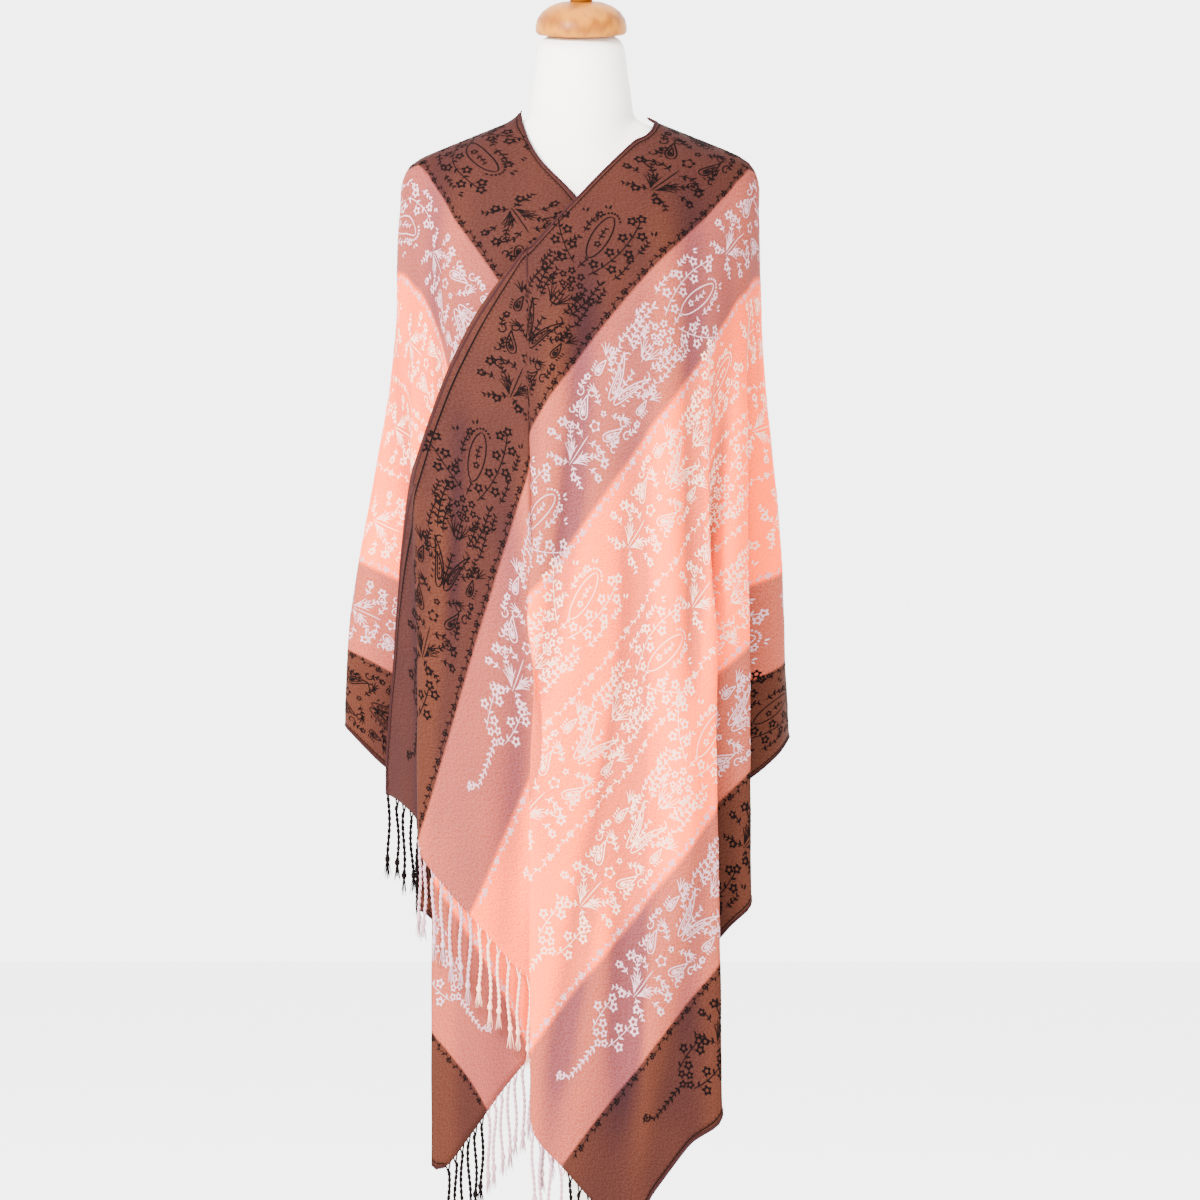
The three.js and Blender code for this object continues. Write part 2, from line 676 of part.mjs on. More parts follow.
const form = new THREE.Group();
form.add(makeTorso());
form.add(makeNeckFittings());
form.add(makeStand());

const object = new THREE.Group();
object.add(shawl);
object.add(form);

export default object;
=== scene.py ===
"""A pashmina shawl with woven floral bands and knotted fringes on a limbless dress form.

The cloth is a thin sheet on the form of its solids, with finer folds. Its woven figure is laid
out flat, in millimetres along and across the shawl, and carried onto the drape.
"""

import logging
import math
from dataclasses import dataclass, field
from enum import Enum
import bpy
import numpy as np
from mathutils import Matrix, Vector


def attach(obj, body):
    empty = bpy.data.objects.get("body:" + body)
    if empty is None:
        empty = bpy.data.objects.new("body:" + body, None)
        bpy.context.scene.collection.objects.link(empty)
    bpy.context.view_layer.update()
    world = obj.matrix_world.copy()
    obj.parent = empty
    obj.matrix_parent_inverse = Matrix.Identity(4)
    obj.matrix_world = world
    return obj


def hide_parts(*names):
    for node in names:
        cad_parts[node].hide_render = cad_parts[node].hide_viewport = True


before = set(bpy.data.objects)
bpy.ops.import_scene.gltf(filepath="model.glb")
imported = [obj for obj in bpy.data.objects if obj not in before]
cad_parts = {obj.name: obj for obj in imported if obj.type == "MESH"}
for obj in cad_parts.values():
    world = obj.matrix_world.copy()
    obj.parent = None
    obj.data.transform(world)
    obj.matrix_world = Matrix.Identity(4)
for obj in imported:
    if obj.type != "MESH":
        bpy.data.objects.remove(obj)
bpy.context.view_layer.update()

LOG = logging.getLogger("shawl")
Values = np.ndarray | float
Color = tuple[float, float, float]

# The flat shawl, in millimetres
MM = 0.001
HALF_LENGTH = 1000.0
WIDTH = 700.0
BAND = 100.0
REPEAT = 265.0

# Drape: heights, in millimetres, at which its plan is set
CHEST_Z = 1230.0
HIP_Z = 780.0
LOW_Z = 320.0
CAP_STEP = 30.0
CAP_SLOPE_LIMIT = 0.25
PUSH_FROM_Z = 985.0
PUSH_FULL_Z = 700.0

# Turns, in degrees, between which the upper half comes to stand off the lower one
LAP_FROM = 105.0
LAP_TO = 155.0

# Sheet: its thickness and the spacing of its grid
SHEET_WALL = 1.4
COLUMN_SPACING = 8.2
ROW_COUNT = 92
ROW_GRADING = 1.2
COLUMN_SAMPLES = 60
FINE_STEPS = 40
TABLE_STEP = 4.0

# Evening out of the flat coordinates: block of cells and rounds of each pass, share of its length
# that a step rests at, weight of a round, and shortest step told apart
BLOCK = 4
RELAX_PASSES = ((BLOCK, 3000), (1, 120))
RELAX_SHARE = 0.9
RELAX_WEIGHT = 0.75
SHORTEST_SHARE = 0.08
LOCATE_ROUNDS = 4
LOCATE_REACH = 3.0

# Creases deepen over this span below the chest, up to their limits
FREE_FROM_Z = 1180.0
FREE_SPAN = 280.0
HELD_SHARE = 0.42
CREASE_GAIN = 1.25
TROUGH_LIMIT = 9.5
RIDGE_LIMIT = 13.3
FIGURE_LIFT = 0.32

RING_COLUMNS = ("z", "right", "left", "front", "back")
SHOULDER_RINGS = np.array([
    (1230, 187, 192, 122, 112),
    (1300, 186, 188, 94, 99),
    (1350, 179, 180, 65, 79),
    (1375, 134, 132, 46, 62),
    (1400, 74, 72, 26, 44),
    (1412, 63, 62, 18, 34),
], float)

# Each fold from the middle of the back round to the corner of the end: turn round the body at the
# chest in degrees, heights of the neck edge and lower edge, plan at the hip and low down, and the
# push aside that it gains lower down
OVER_FOLDS = {
    "back": (0, 1374, 688, 0, 120, 0, 120),
    "blade": (30, 1380, 692, 112, 112, 116, 112),
    "back_side": (62, 1394, 716, 196, 72, 204, 72),
    "elbow": (92, 1402, 744, 219, 2, 238, 0),
    "lobe": (102, 1402, 712, 190, -48, 196, -52),
    "turn_one": (108, 1401, 648, 122, -62, 112, -64),
    "fold_two": (114, 1400, 581, 176, -92, 180, -96),
    "face_two": (120, 1399, 542, 150, -108, 152, -112),
    "turn_two": (128, 1398, 452, 88, -114, 68, -114),
    "fold_one": (138, 1397, 360, 140, -136, 148, -138),
    "face_one": (148, 1394, 322, 108, -150, 112, -152),
    "apex": (158, 1382, 275, 76, -158, 76, -160),
    "tip": (166, 1368, 238, 52, -162, 48, -165),
    "front": (185, 1301, 297, -14, -172, -14, -176),
    "fold_three": (194, 1267, 355, -44, -162, -40, -163, -10, -6),
    "turn_three": (196, 1262, 427, -49, -159, -48, -160, 82, 5),
    "under_three": (198, 1256, 497, -56, -157, -56, -156, 0, 20),
    "left": (213, 1190, 549, -104, -139, -104, -136),
    "left_side": (230, 1095, 591, -142, -130, -142, -128),
    "fold_four": (238, 1043, 626, -168, -113, -168, -111),
    "strip": (244, 1015, 658, -172, -97, -171, -95),
    "strip_middle": (252, 922, 676, -188, -74, -186, -72),
    "strip_edge": (260, 775, 684, -202, -50, -200, -48),
    "corner": (263, 708, 684, -206, -44, -204, -42),
}
UNDER_FOLDS = {
    "back": (0, 1374, 688, 0, 120, 0, 120),
    "blade": (30, 1380, 694, 118, 112, 124, 112),
    "back_side": (62, 1396, 724, 212, 72, 222, 72),
    "elbow": (92, 1409, 757, 246, 2, 266, 0),
    "lobe": (102, 1409, 720, 214, -22, 218, -24),
    "turn_one": (108, 1408, 648, 138, -28, 130, -32),
    "fold_two": (114, 1407, 571, 172, -60, 174, -66),
    "face_two": (119, 1406, 549, 152, -75, 155, -80),
    "turn_two": (127, 1405, 425, 84, -80, 60, -84),
    "fold_one": (136, 1404, 310, 149, -103, 151, -105),
    "tip": (141, 1402, 297, 140, -113, 142, -115),
    "face_one": (149, 1399, 336, 110, -119, 112, -120),
    "lap": (159, 1388, 384, 74, -122, 78, -122),
    "lap_two": (168, 1352, 424, 40, -125, 42, -125),
    "pleat_out": (178, 1318, 478, -20, -117, -24, -113),
    "pleat_in": (182, 1296, 514, 40, -104, 42, -99),
    "far": (194, 1230, 566, -48, -96, -50, -90),
    "far_side": (206, 1110, 598, -78, -92, -79, -87),
    "far_edge": (216, 860, 616, -96, -84, -97, -82),
    "corner": (219, 700, 622, -108, -80, -108, -78),
}

# Soft creases on the flat cloth, each from one place to another: along and across at both ends,
# half-width and height, in millimetres. Along is positive towards the end on top.
CREASES = np.array([
    (130, 10, 520, 600, 24, 9.0),
    (185, 10, 640, 470, 20, -8.0),
    (235, 20, 740, 540, 22, 8.5),
    (300, 10, 860, 360, 18, -7.5),
    (370, 20, 950, 400, 20, 8.0),
    (200, 120, 640, 680, 24, -9.0),
    (270, 200, 760, 690, 19, 7.5),
    (430, 160, 900, 600, 21, -7.5),
    (530, 60, 980, 270, 17, 6.0),
    (450, 330, 940, 660, 20, 7.5),
    (560, 300, 980, 560, 17, -6.5),
    (140, 60, 330, 695, 22, 8.0),
    (90, 40, 230, 695, 26, -8.0),
    (60, 120, 120, 695, 32, 8.0),
    (-70, 90, -90, 695, 30, -8.0),
    (10, 200, -15, 695, 28, 6.5),
    (-120, 10, -500, 620, 22, 8.0),
    (-165, 20, -580, 470, 19, -7.0),
    (-215, 30, -680, 520, 20, 7.0),
    (-140, 80, -340, 695, 23, 7.5),
    (-280, 120, -820, 600, 20, -6.5),
    (-360, 30, -930, 400, 18, 6.0),
    (-230, 260, -540, 695, 21, -7.5),
    (640, 20, 985, 90, 12, 3.2),
    (560, 10, 800, 70, 10, -2.5),
], float)


def smooth_step(share: Values) -> Values:
    """Eases a share between 0 and 1."""
    held = np.clip(share, 0.0, 1.0)
    return held * held * (3 - 2 * held)


def hermite(start: Values, start_slope: Values, end: Values, end_slope: Values, span: Values,
            share: Values) -> Values:
    """Follows a cubic between two values.

    Args:
        start: value at the start.
        start_slope: slope there.
        end: value at the end.
        end_slope: slope there.
        span: distance from start to end.
        share: how far along it, from 0 to 1.

    Returns:
        The value at that share.
    """
    square, cube = share**2, share**3
    return (
        (2 * cube - 3 * square + 1) * start
        + (cube - 2 * square + share) * span * start_slope
        + (3 * square - 2 * cube) * end
        + (cube - square) * span * end_slope
    )


def read_rings(z: np.ndarray, column: str) -> np.ndarray:
    """Reads a column of the shoulder rings smoothly.

    Args:
        z: heights, in millimetres.
        column: name of the column.

    Returns:
        The half-widths at those heights.
    """
    heights, values = SHOULDER_RINGS[:, 0], SHOULDER_RINGS[:, RING_COLUMNS.index(column)]
    last = len(heights) - 1
    z = np.clip(z, heights[0], heights[-1])
    low = np.clip(np.searchsorted(heights, z, side="right") - 1, 0, last - 1)
    before, after = np.maximum(np.arange(last + 1) - 1, 0), np.minimum(np.arange(last + 1) + 1, last)
    slopes = (values[after] - values[before]) / (heights[after] - heights[before])
    span = heights[low + 1] - heights[low]
    share = (z - heights[low]) / span
    return hermite(values[low], slopes[low], values[low + 1], slopes[low + 1], span, share)


@dataclass
class Half:
    """One half of the shawl, from the middle of its back to one end.

    Args:
        side: 1 for the half over +X, whose end lies on top, -1 for the other.
        lap: how far it stands off where it crosses the other half, in millimetres.
        folds: the named folds in order.
    """

    side: int
    lap: float
    folds: dict[str, tuple]
    grid: np.ndarray = field(init=False)
    outward: np.ndarray = field(init=False)
    flat: np.ndarray = field(init=False)
    lift: np.ndarray = field(init=False)
    lookup: np.ndarray = field(init=False)

    def shoulder_plan(self, turn: float, z: np.ndarray) -> tuple[np.ndarray, np.ndarray]:
        """Finds plan places on the shoulders.

        Args:
            turn: turn round the body, in degrees from the middle of the back.
            z: heights, in millimetres.

        Returns:
            The places to the side and to the back, before mirroring.
        """
        angle = math.radians(turn)
        lap = self.lap * float(smooth_step((turn - LAP_FROM) / (LAP_TO - LAP_FROM)))
        on_right = (math.sin(angle) >= 0) == (self.side > 0)
        key = "right" if on_right else "left"
        width = read_rings(z, key) + lap
        chest = SHOULDER_RINGS[0][RING_COLUMNS.index(key)] + lap
        turned = np.arctan2(chest * math.sin(angle), width * math.cos(angle))
        depth = np.where(np.cos(turned) > 0, read_rings(z, "back"), read_rings(z, "front")) + lap
        return width * np.sin(turned), depth * np.cos(turned)

    def fold_at(self, place: float) -> np.ndarray:
        """Reads the fold table smoothly between its rows.

        Args:
            place: number of the row, with a part of a row.

        Returns:
            The row's values there, with its push.
        """
        rows = np.array([(row + (0, 0))[:9] for row in self.folds.values()], float)
        last = len(rows) - 1
        index = min(max(int(math.floor(place)), 0), last - 1)
        mirror = np.array([-1, 1, 1, -1, 1, -1, 1, -1, 1])
        before = rows[1] * mirror if index == 0 else rows[index - 1]
        after = rows[index + 2] if index + 2 <= last else 2 * rows[last] - rows[last - 1]
        b, c = rows[index], rows[index + 1]
        return hermite(b, (c - before) / 2, c, (after - b) / 2, 1, place - index)

    def plan(self, fold: np.ndarray, z: np.ndarray) -> list[np.ndarray]:
        """Finds plan places of a column of the cloth.

        Args:
            fold: the fold values of the column.
            z: heights, in millimetres.

        Returns:
            The places to the side and to the back, before mirroring.
        """
        turn, _, _, hip_x, hip_y, low_x, low_y, *push = fold
        cap = self.shoulder_plan(turn, np.maximum(z, CHEST_Z))
        chest = self.shoulder_plan(turn, np.array([CHEST_Z]))
        above = self.shoulder_plan(turn, np.array([CHEST_Z + CAP_STEP]))
        upper, lower = CHEST_Z - HIP_Z, HIP_Z - LOW_Z
        pushed = smooth_step((PUSH_FROM_Z - z) / (PUSH_FROM_Z - PUSH_FULL_Z))
        result = []
        for axis, hip, low in ((0, hip_x, low_x), (1, hip_y, low_y)):
            slope = np.clip((chest[axis] - above[axis]) / CAP_STEP, -CAP_SLOPE_LIMIT, CAP_SLOPE_LIMIT)
            low_slope = (low - hip) / lower
            hip_slope = ((hip - chest[axis]) / upper + low_slope) / 2
            high = hermite(chest[axis], slope, hip, hip_slope, upper, (CHEST_Z - z) / upper)
            deep = hermite(hip, hip_slope, low, low_slope, lower, (HIP_Z - z) / lower)
            body = np.where(z >= HIP_Z, high, deep) + pushed * push[axis]
            result.append(np.where(z >= CHEST_Z, cap[axis], body))
        return result

    def column(self, place: float, shares: np.ndarray) -> np.ndarray:
        """Finds places down a column.

        Args:
            place: the column's place in the fold table.
            shares: shares of its length from the neck edge.

        Returns:
            The places, in millimetres.
        """
        fold = self.fold_at(place)
        steps = (np.arange(COLUMN_SAMPLES + 1) / COLUMN_SAMPLES) ** ROW_GRADING
        z = fold[1] + (fold[2] - fold[1]) * steps
        x, y = self.plan(fold, z)
        points = np.stack([self.side * x, y, z], -1)
        run = np.concatenate([[0], np.cumsum(np.linalg.norm(np.diff(points, axis=0), axis=1))])
        wanted = shares * run[-1]
        return np.stack([np.interp(wanted, run, points[:, k]) for k in range(3)], -1)

    def build(self) -> None:
        """Fills the grid of places, its flat coordinates, its outward ways and the look-up."""
        shares = (np.arange(ROW_COUNT + 1) / ROW_COUNT) ** ROW_GRADING
        last = len(self.folds) - 1
        fine = np.linspace(0, last, last * FINE_STEPS + 1)
        ends = np.array([self.column(q, np.array([0.0, 1.0])) for q in fine])
        steps = np.linalg.norm(np.diff(ends, axis=0), axis=2)
        tip = list(self.folds).index("tip")
        tip_at = tip * FINE_STEPS
        top_run = np.concatenate([[0], np.cumsum(steps[:, 0])])
        foot_run = np.concatenate([[0], np.cumsum(steps[:, 1])])
        spread = np.concatenate([[0], np.cumsum(steps.max(axis=1))])
        count = int(spread[-1] / COLUMN_SPACING / BLOCK) * BLOCK
        places = np.interp(np.linspace(0, spread[-1], count + 1), spread, fine)
        places[np.abs(places - tip).argmin()] = tip
        self.grid = np.array([self.column(q, shares) for q in places])
        top_s = np.interp(places, fine, top_run) * HALF_LENGTH / top_run[-1]
        hem_s = np.interp(places, fine, foot_run) * HALF_LENGTH / foot_run[tip_at]
        end_run = np.interp(places, fine, foot_run) - foot_run[tip_at]
        end_t = WIDTH * (1 - end_run / (foot_run[-1] - foot_run[tip_at]))
        past = places > tip
        foot_s = np.where(past, HALF_LENGTH, hem_s)
        foot_t = np.where(past, np.maximum(end_t, 0.5), WIDTH)
        s = top_s[:, None] + shares[None] * (foot_s - top_s)[:, None]
        t = shares[None] * foot_t[:, None]
        self.flat = relax_flat(np.stack([s, t], -1), self.grid)
        self.make_lookup()
        self.add_creases()

    def find_outward(self) -> None:
        """Works out the outward way at each place of the grid."""
        along = np.gradient(self.grid, axis=0)
        down = np.gradient(self.grid, axis=1)
        normal = np.cross(along, down) * self.side
        self.outward = normal / np.linalg.norm(normal, axis=-1, keepdims=True)

    def add_creases(self) -> None:
        """Adds the soft creases and a faint unevenness along the outward way."""
        self.find_outward()
        s, t = self.side * self.flat[..., 0], self.flat[..., 1]
        lift = np.zeros_like(s)
        for s0, t0, s1, t1, half_width, height in CREASES:
            ds, dt = s1 - s0, t1 - t0
            length = math.hypot(ds, dt)
            run = ((s - s0) * ds + (t - t0) * dt) / length**2
            off = ((s - s0) * -dt + (t - t0) * ds) / length
            ends = smooth_step(run / 0.25) * smooth_step((1.15 - run) / 0.4)
            lift += height * ends * np.exp(-((off / half_width) ** 2))
        free = smooth_step((FREE_FROM_Z - self.grid[..., 2]) / FREE_SPAN)
        lift *= HELD_SHARE + (1 - HELD_SHARE) * free
        lift = np.clip(CREASE_GAIN * lift, -TROUGH_LIMIT, RIDGE_LIMIT)
        lift += 0.7 * np.sin(s / 37 + 1.3 * np.sin(t / 90)) * np.sin(t / 140 + s / 300)
        lift += 0.35 * np.sin(s / 13.7 + t / 29) * np.sin(t / 23 - s / 61)
        self.lift = lift
        self.grid = self.grid + self.outward * lift[..., None]
        self.find_outward()

    def make_lookup(self) -> None:
        """Makes the rough table from flat coordinates to a place in the grid."""
        i = np.arange(0, self.flat.shape[0] - 0.99, 1 / 3)
        j = np.arange(0, self.flat.shape[1] - 0.99, 1 / 3)
        i, j = (axis.ravel() for axis in np.meshgrid(i, j, indexing="ij"))
        marks = (bilinear(self.flat, np.minimum(i, self.flat.shape[0] - 1.001),
                          np.minimum(j, self.flat.shape[1] - 1.001)) / TABLE_STEP).astype(int)
        table = np.full((int(HALF_LENGTH / TABLE_STEP) + 1, int(WIDTH / TABLE_STEP) + 1, 2), np.nan)
        table[marks[:, 0], marks[:, 1]] = np.stack([i, j], -1)
        while np.isnan(table).any():
            for axis in (0, 1):
                for way in (1, -1):
                    moved = np.roll(table, way, axis)
                    table = np.where(np.isnan(table), moved, table)
        self.lookup = table

    def locate(self, flat: np.ndarray) -> tuple[np.ndarray, np.ndarray]:
        """Carries flat coordinates of this half onto the cloth.

        Args:
            flat: places along and across the flat shawl.

        Returns:
            The places on the drape and the outward ways there.
        """
        wanted = np.stack([np.abs(flat[:, 0]), flat[:, 1]], -1)
        marks = (wanted / TABLE_STEP).astype(int)
        where = self.lookup[marks[:, 0], marks[:, 1]].copy()
        limit = np.array(self.flat.shape[:2]) - 1.001
        for _ in range(LOCATE_ROUNDS):
            where = np.clip(where, 0, limit)
            i0, j0 = where.astype(int).T
            di = self.flat[i0 + 1, j0] - self.flat[i0, j0]
            dj = self.flat[i0, j0 + 1] - self.flat[i0, j0]
            miss = wanted - bilinear(self.flat, where[:, 0], where[:, 1])
            area = di[:, 0] * dj[:, 1] - di[:, 1] * dj[:, 0]
            area = np.where(np.abs(area) < 0.5, np.where(area < 0, -0.5, 0.5), area)
            step = np.stack([miss[:, 0] * dj[:, 1] - miss[:, 1] * dj[:, 0],
                             di[:, 0] * miss[:, 1] - di[:, 1] * miss[:, 0]], -1)
            where += np.clip(step / area[:, None], -LOCATE_REACH, LOCATE_REACH)
        i, j = np.clip(where, 0, limit).T
        return bilinear(self.grid, i, j), bilinear(self.outward, i, j)


GRID_WAYS = ((1, 0), (0, 1), (1, 1), (1, -1))


def way_slices(way: tuple[int, int], shape: tuple[int, int]) -> tuple[tuple, tuple]:
    """Finds all grid steps that go one way.

    Args:
        way: cells gone along and down in a step.
        shape: the grid's shape.

    Returns:
        The slices of the steps' starts and those of their ends.
    """
    (di, dj), (n, m) = way, shape
    starts = (slice(0, n - di), slice(max(-dj, 0), m - max(dj, 0)))
    ends = (slice(di, n), slice(max(dj, 0), m - max(-dj, 0)))
    return starts, ends


def path_lengths(grid: np.ndarray, way: tuple[int, int], block: int) -> np.ndarray:
    """Measures lengths on the cloth along one way of its grid.

    Args:
        grid: places on the cloth.
        way: cells gone along and down in a step.
        block: number of steps in a length.

    Returns:
        The lengths, in millimetres.
    """
    (di, dj), (n, m) = way, ((size - 1) // block + 1 for size in grid.shape[:2])
    i = np.arange(n - di)[:, None] * block
    j = np.arange(max(-dj, 0), m - max(dj, 0))[None] * block
    steps = [grid[i + di * (k + 1), j + dj * (k + 1)] - grid[i + di * k, j + dj * k]
             for k in range(block)]
    return sum(np.linalg.norm(step, axis=-1) for step in steps)


def relax_flat(flat: np.ndarray, grid: np.ndarray) -> np.ndarray:
    """Evens out the flat coordinates inside the edges, so that they follow the cloth's spacing.

    Args:
        flat: the first flat coordinates of each place of the grid.
        grid: the places on the cloth.

    Returns:
        The evened flat coordinates.
    """
    for block, rounds in RELAX_PASSES:
        coarse = flat[::block, ::block].copy()
        lengths = []
        for way in GRID_WAYS:
            rest = path_lengths(grid, way, block)
            starts, ends = way_slices(way, coarse.shape[:2])
            own = np.linalg.norm(coarse[ends] - coarse[starts], axis=-1)
            rest *= RELAX_SHARE * own.sum() / rest.sum()
            stiffness = np.sqrt(rest.mean() / np.maximum(rest, SHORTEST_SHARE * rest.mean()))
            lengths.append((starts, ends, rest, stiffness))
        total = np.zeros(coarse.shape[:2])
        for starts, ends, _, stiffness in lengths:
            total[starts] += stiffness
            total[ends] += stiffness
        for _ in range(rounds):
            move = np.zeros_like(coarse)
            for starts, ends, rest, stiffness in lengths:
                gap = coarse[ends] - coarse[starts]
                size = np.maximum(np.linalg.norm(gap, axis=-1), 1e-6)
                pull = gap * ((size - rest) / size * stiffness)[..., None]
                move[starts] += pull
                move[ends] -= pull
            coarse[1:-1, 1:-1] += RELAX_WEIGHT * (move / total[..., None])[1:-1, 1:-1]
        change = coarse - flat[::block, ::block]
        i, j = np.meshgrid(*(np.arange(size) / block for size in flat.shape[:2]), indexing="ij")
        i = np.minimum(i.ravel(), change.shape[0] - 1.0001)
        j = np.minimum(j.ravel(), change.shape[1] - 1.0001)
        flat = flat + bilinear(change, i, j).reshape(flat.shape)
    return np.clip(flat, 0, [HALF_LENGTH, WIDTH])


def bilinear(grid: np.ndarray, i: np.ndarray, j: np.ndarray) -> np.ndarray:
    """Reads a grid of vectors between its places.

    Args:
        grid: the vectors.
        i: rows, with a part of a row.
        j: columns, with a part of a column.

    Returns:
        The vectors there.
    """
    i0, j0 = i.astype(int), j.astype(int)
    fi, fj = (i - i0)[:, None], (j - j0)[:, None]
    low = grid[i0, j0] * (1 - fi) + grid[i0 + 1, j0] * fi
    high = grid[i0, j0 + 1] * (1 - fi) + grid[i0 + 1, j0 + 1] * fi
    return low * (1 - fj) + high * fj


OVER = Half(1, 11.0, OVER_FOLDS)
UNDER = Half(-1, 0.0, UNDER_FOLDS)


def on_cloth(flat: np.ndarray, lift: float) -> np.ndarray:
    """Carries flat coordinates onto the drape.

    Args:
        flat: places along and across the flat shawl.
        lift: how far the places stand off the middle of the cloth, in millimetres.

    Returns:
        The places on the drape, in millimetres.
    """
    places = np.zeros((len(flat), 3))
    for half, chosen in ((OVER, flat[:, 0] >= 0), (UNDER, flat[:, 0] < 0)):
        if chosen.any():
            points, outward = half.locate(flat[chosen])
            places[chosen] = points + outward * lift
    return places


class Yarn(Enum):
    """Yarns and other finishes, each named for its material slot."""

    GROUND = "shawl_cloth"
    BLACK = "black_cord"
    GREY = "grey_cord"
    CREAM = "cream_cord"
    LINEN = "form_linen"
    WOOD = "turned_wood"
    PAINT = "stand_paint"


BROWN = (0.041, 0.0146, 0.0118)
MAUVE = (0.228, 0.056, 0.046)
PEACH = (0.95, 0.100, 0.012)


class NodeTree:
    """Short-hand for adding and joining shader nodes.

    Args:
        name: name of the material.
    """

    def __init__(self, name: str) -> None:
        """Starts the material."""
        self.material = bpy.data.materials.new(name)
        self.material.use_nodes = True
        self.nodes = self.material.node_tree.nodes
        self.links = self.material.node_tree.links
        self.shader = self.nodes["Principled BSDF"]

    def add(self, kind: str, **inputs) -> bpy.types.Node:
        """Adds a node.

        Args:
            kind: the node's type.
            inputs: a constant or an output for each named input, with _ for a space.

        Returns:
            The node.
        """
        node = self.nodes.new(kind)
        for key, value in inputs.items():
            self.join(node.inputs[key.replace("_", " ")], value)
        return node

    def join(self, socket: bpy.types.NodeSocket, value: object) -> None:
        """Joins an output to an input, or sets its constant.

        Args:
            socket: the input.
            value: an output, a number, a vector or a colour.
        """
        if isinstance(value, bpy.types.NodeSocket):
            self.links.new(value, socket)
        elif isinstance(value, tuple) and len(value) == 3 and socket.type == "RGBA":
            socket.default_value = (*value, 1.0)
        else:
            socket.default_value = value

    def mix(self, share: object, first: object, second: object,
            blend: str = "MIX") -> bpy.types.NodeSocket:
        """Mixes two colours.

        Args:
            share: share of the second colour.
            first: the first colour.
            second: the second colour.
            blend: how they are blended.

        Returns:
            The mixed colour.
        """
        node = self.nodes.new("ShaderNodeMix")
        node.data_type = "RGBA"
        node.blend_type = blend
        self.join(node.inputs[0], share)
        self.join(node.inputs[6], first)
        self.join(node.inputs[7], second)
        return node.outputs[2]

    def noise(self, vector: bpy.types.NodeSocket, scale: float) -> bpy.types.NodeSocket:
        """A fine noise about 0.5."""
        return self.add("ShaderNodeTexNoise", Vector=vector, Scale=scale, Detail=2.0).outputs[0]

    def dress(self, color: bpy.types.NodeSocket | Color, roughness: float, specular: float) -> None:
        """Gives the shader its colour and shine.

        Args:
            color: base colour.
            roughness: surface roughness.
            specular: strength of the shine.
        """
        self.join(self.shader.inputs["Base Color"], color)
        self.shader.inputs["Roughness"].default_value = roughness
        self.shader.inputs["Specular IOR Level"].default_value = specular

    def bump(self, height: bpy.types.NodeSocket, strength: float, distance: float) -> None:
        """Gives the shader a relief.

        Args:
            height: the relief's height, from 0 to 1.
            strength: its strength.
            distance: its depth, in metres.
        """
        node = self.add("ShaderNodeBump", Height=height, Strength=strength, Distance=distance)
        self.links.new(node.outputs[0], self.shader.inputs["Normal"])


MATT_FROM = 0.7
MATT_SPECULAR = 0.03
USUAL_SPECULAR = 0.5


@dataclass(frozen=True)
class Finish:
    """A plain finish with a fine grain in Object coordinates.

    Args:
        color: base colour, linear.
        roughness: surface roughness.
        grain: fineness of the grain.
        variation: how far the grain changes the colour.
        bump: strength of the grain's relief.
    """

    color: Color
    roughness: float
    grain: float
    variation: float
    bump: float = 0.1

    def build(self, name: str) -> bpy.types.Material:
        """Builds the material.

        Args:
            name: the material's name.

        Returns:
            The material.
        """
        tree = NodeTree(name)
        coords = tree.nodes.new("ShaderNodeTexCoord").outputs["Object"]
        grain = tree.noise(coords, self.grain)
        darker = tuple(channel * (1 - self.variation) for channel in self.color)
        lighter = tuple(min(channel * (1 + self.variation), 1.0) for channel in self.color)
        specular = MATT_SPECULAR if self.roughness > MATT_FROM else USUAL_SPECULAR
        tree.dress(tree.mix(grain, darker, lighter), self.roughness, specular)
        if self.bump:
            tree.bump(grain, self.bump, 0.0006)
        return tree.material


@dataclass(frozen=True)
class TurnedWood:
    """Turned wood with fine rings.

    Args:
        dark: colour of the late wood.
        light: colour of the early wood.
        rings: fineness of the rings.
        distortion: how far the rings wander.
        stretch: scale of the pattern along the axis.
        roughness: surface roughness.
        specular: strength of the shine.
    """

    dark: Color = (0.21, 0.060, 0.003)
    light: Color = (0.35, 0.120, 0.005)
    rings: float = 60.0
    distortion: float = 5.0
    stretch: float = 0.25
    roughness: float = 0.42
    specular: float = 0.12

    def build(self, name: str) -> bpy.types.Material:
        """Builds the material.

        Args:
            name: the material's name.

        Returns:
            The material.
        """
        tree = NodeTree(name)
        coords = tree.nodes.new("ShaderNodeTexCoord").outputs["Object"]
        stretched = tree.add("ShaderNodeMapping", Vector=coords, Scale=(1.0, 1.0, self.stretch))
        wave = tree.add("ShaderNodeTexWave", Vector=stretched.outputs[0], Scale=self.rings,
                        Distortion=self.distortion, Detail=3.0)
        wave.wave_type = "RINGS"
        color = tree.mix(wave.outputs["Fac"], self.dark, self.light)
        tree.dress(color, self.roughness, self.specular)
        return tree.material


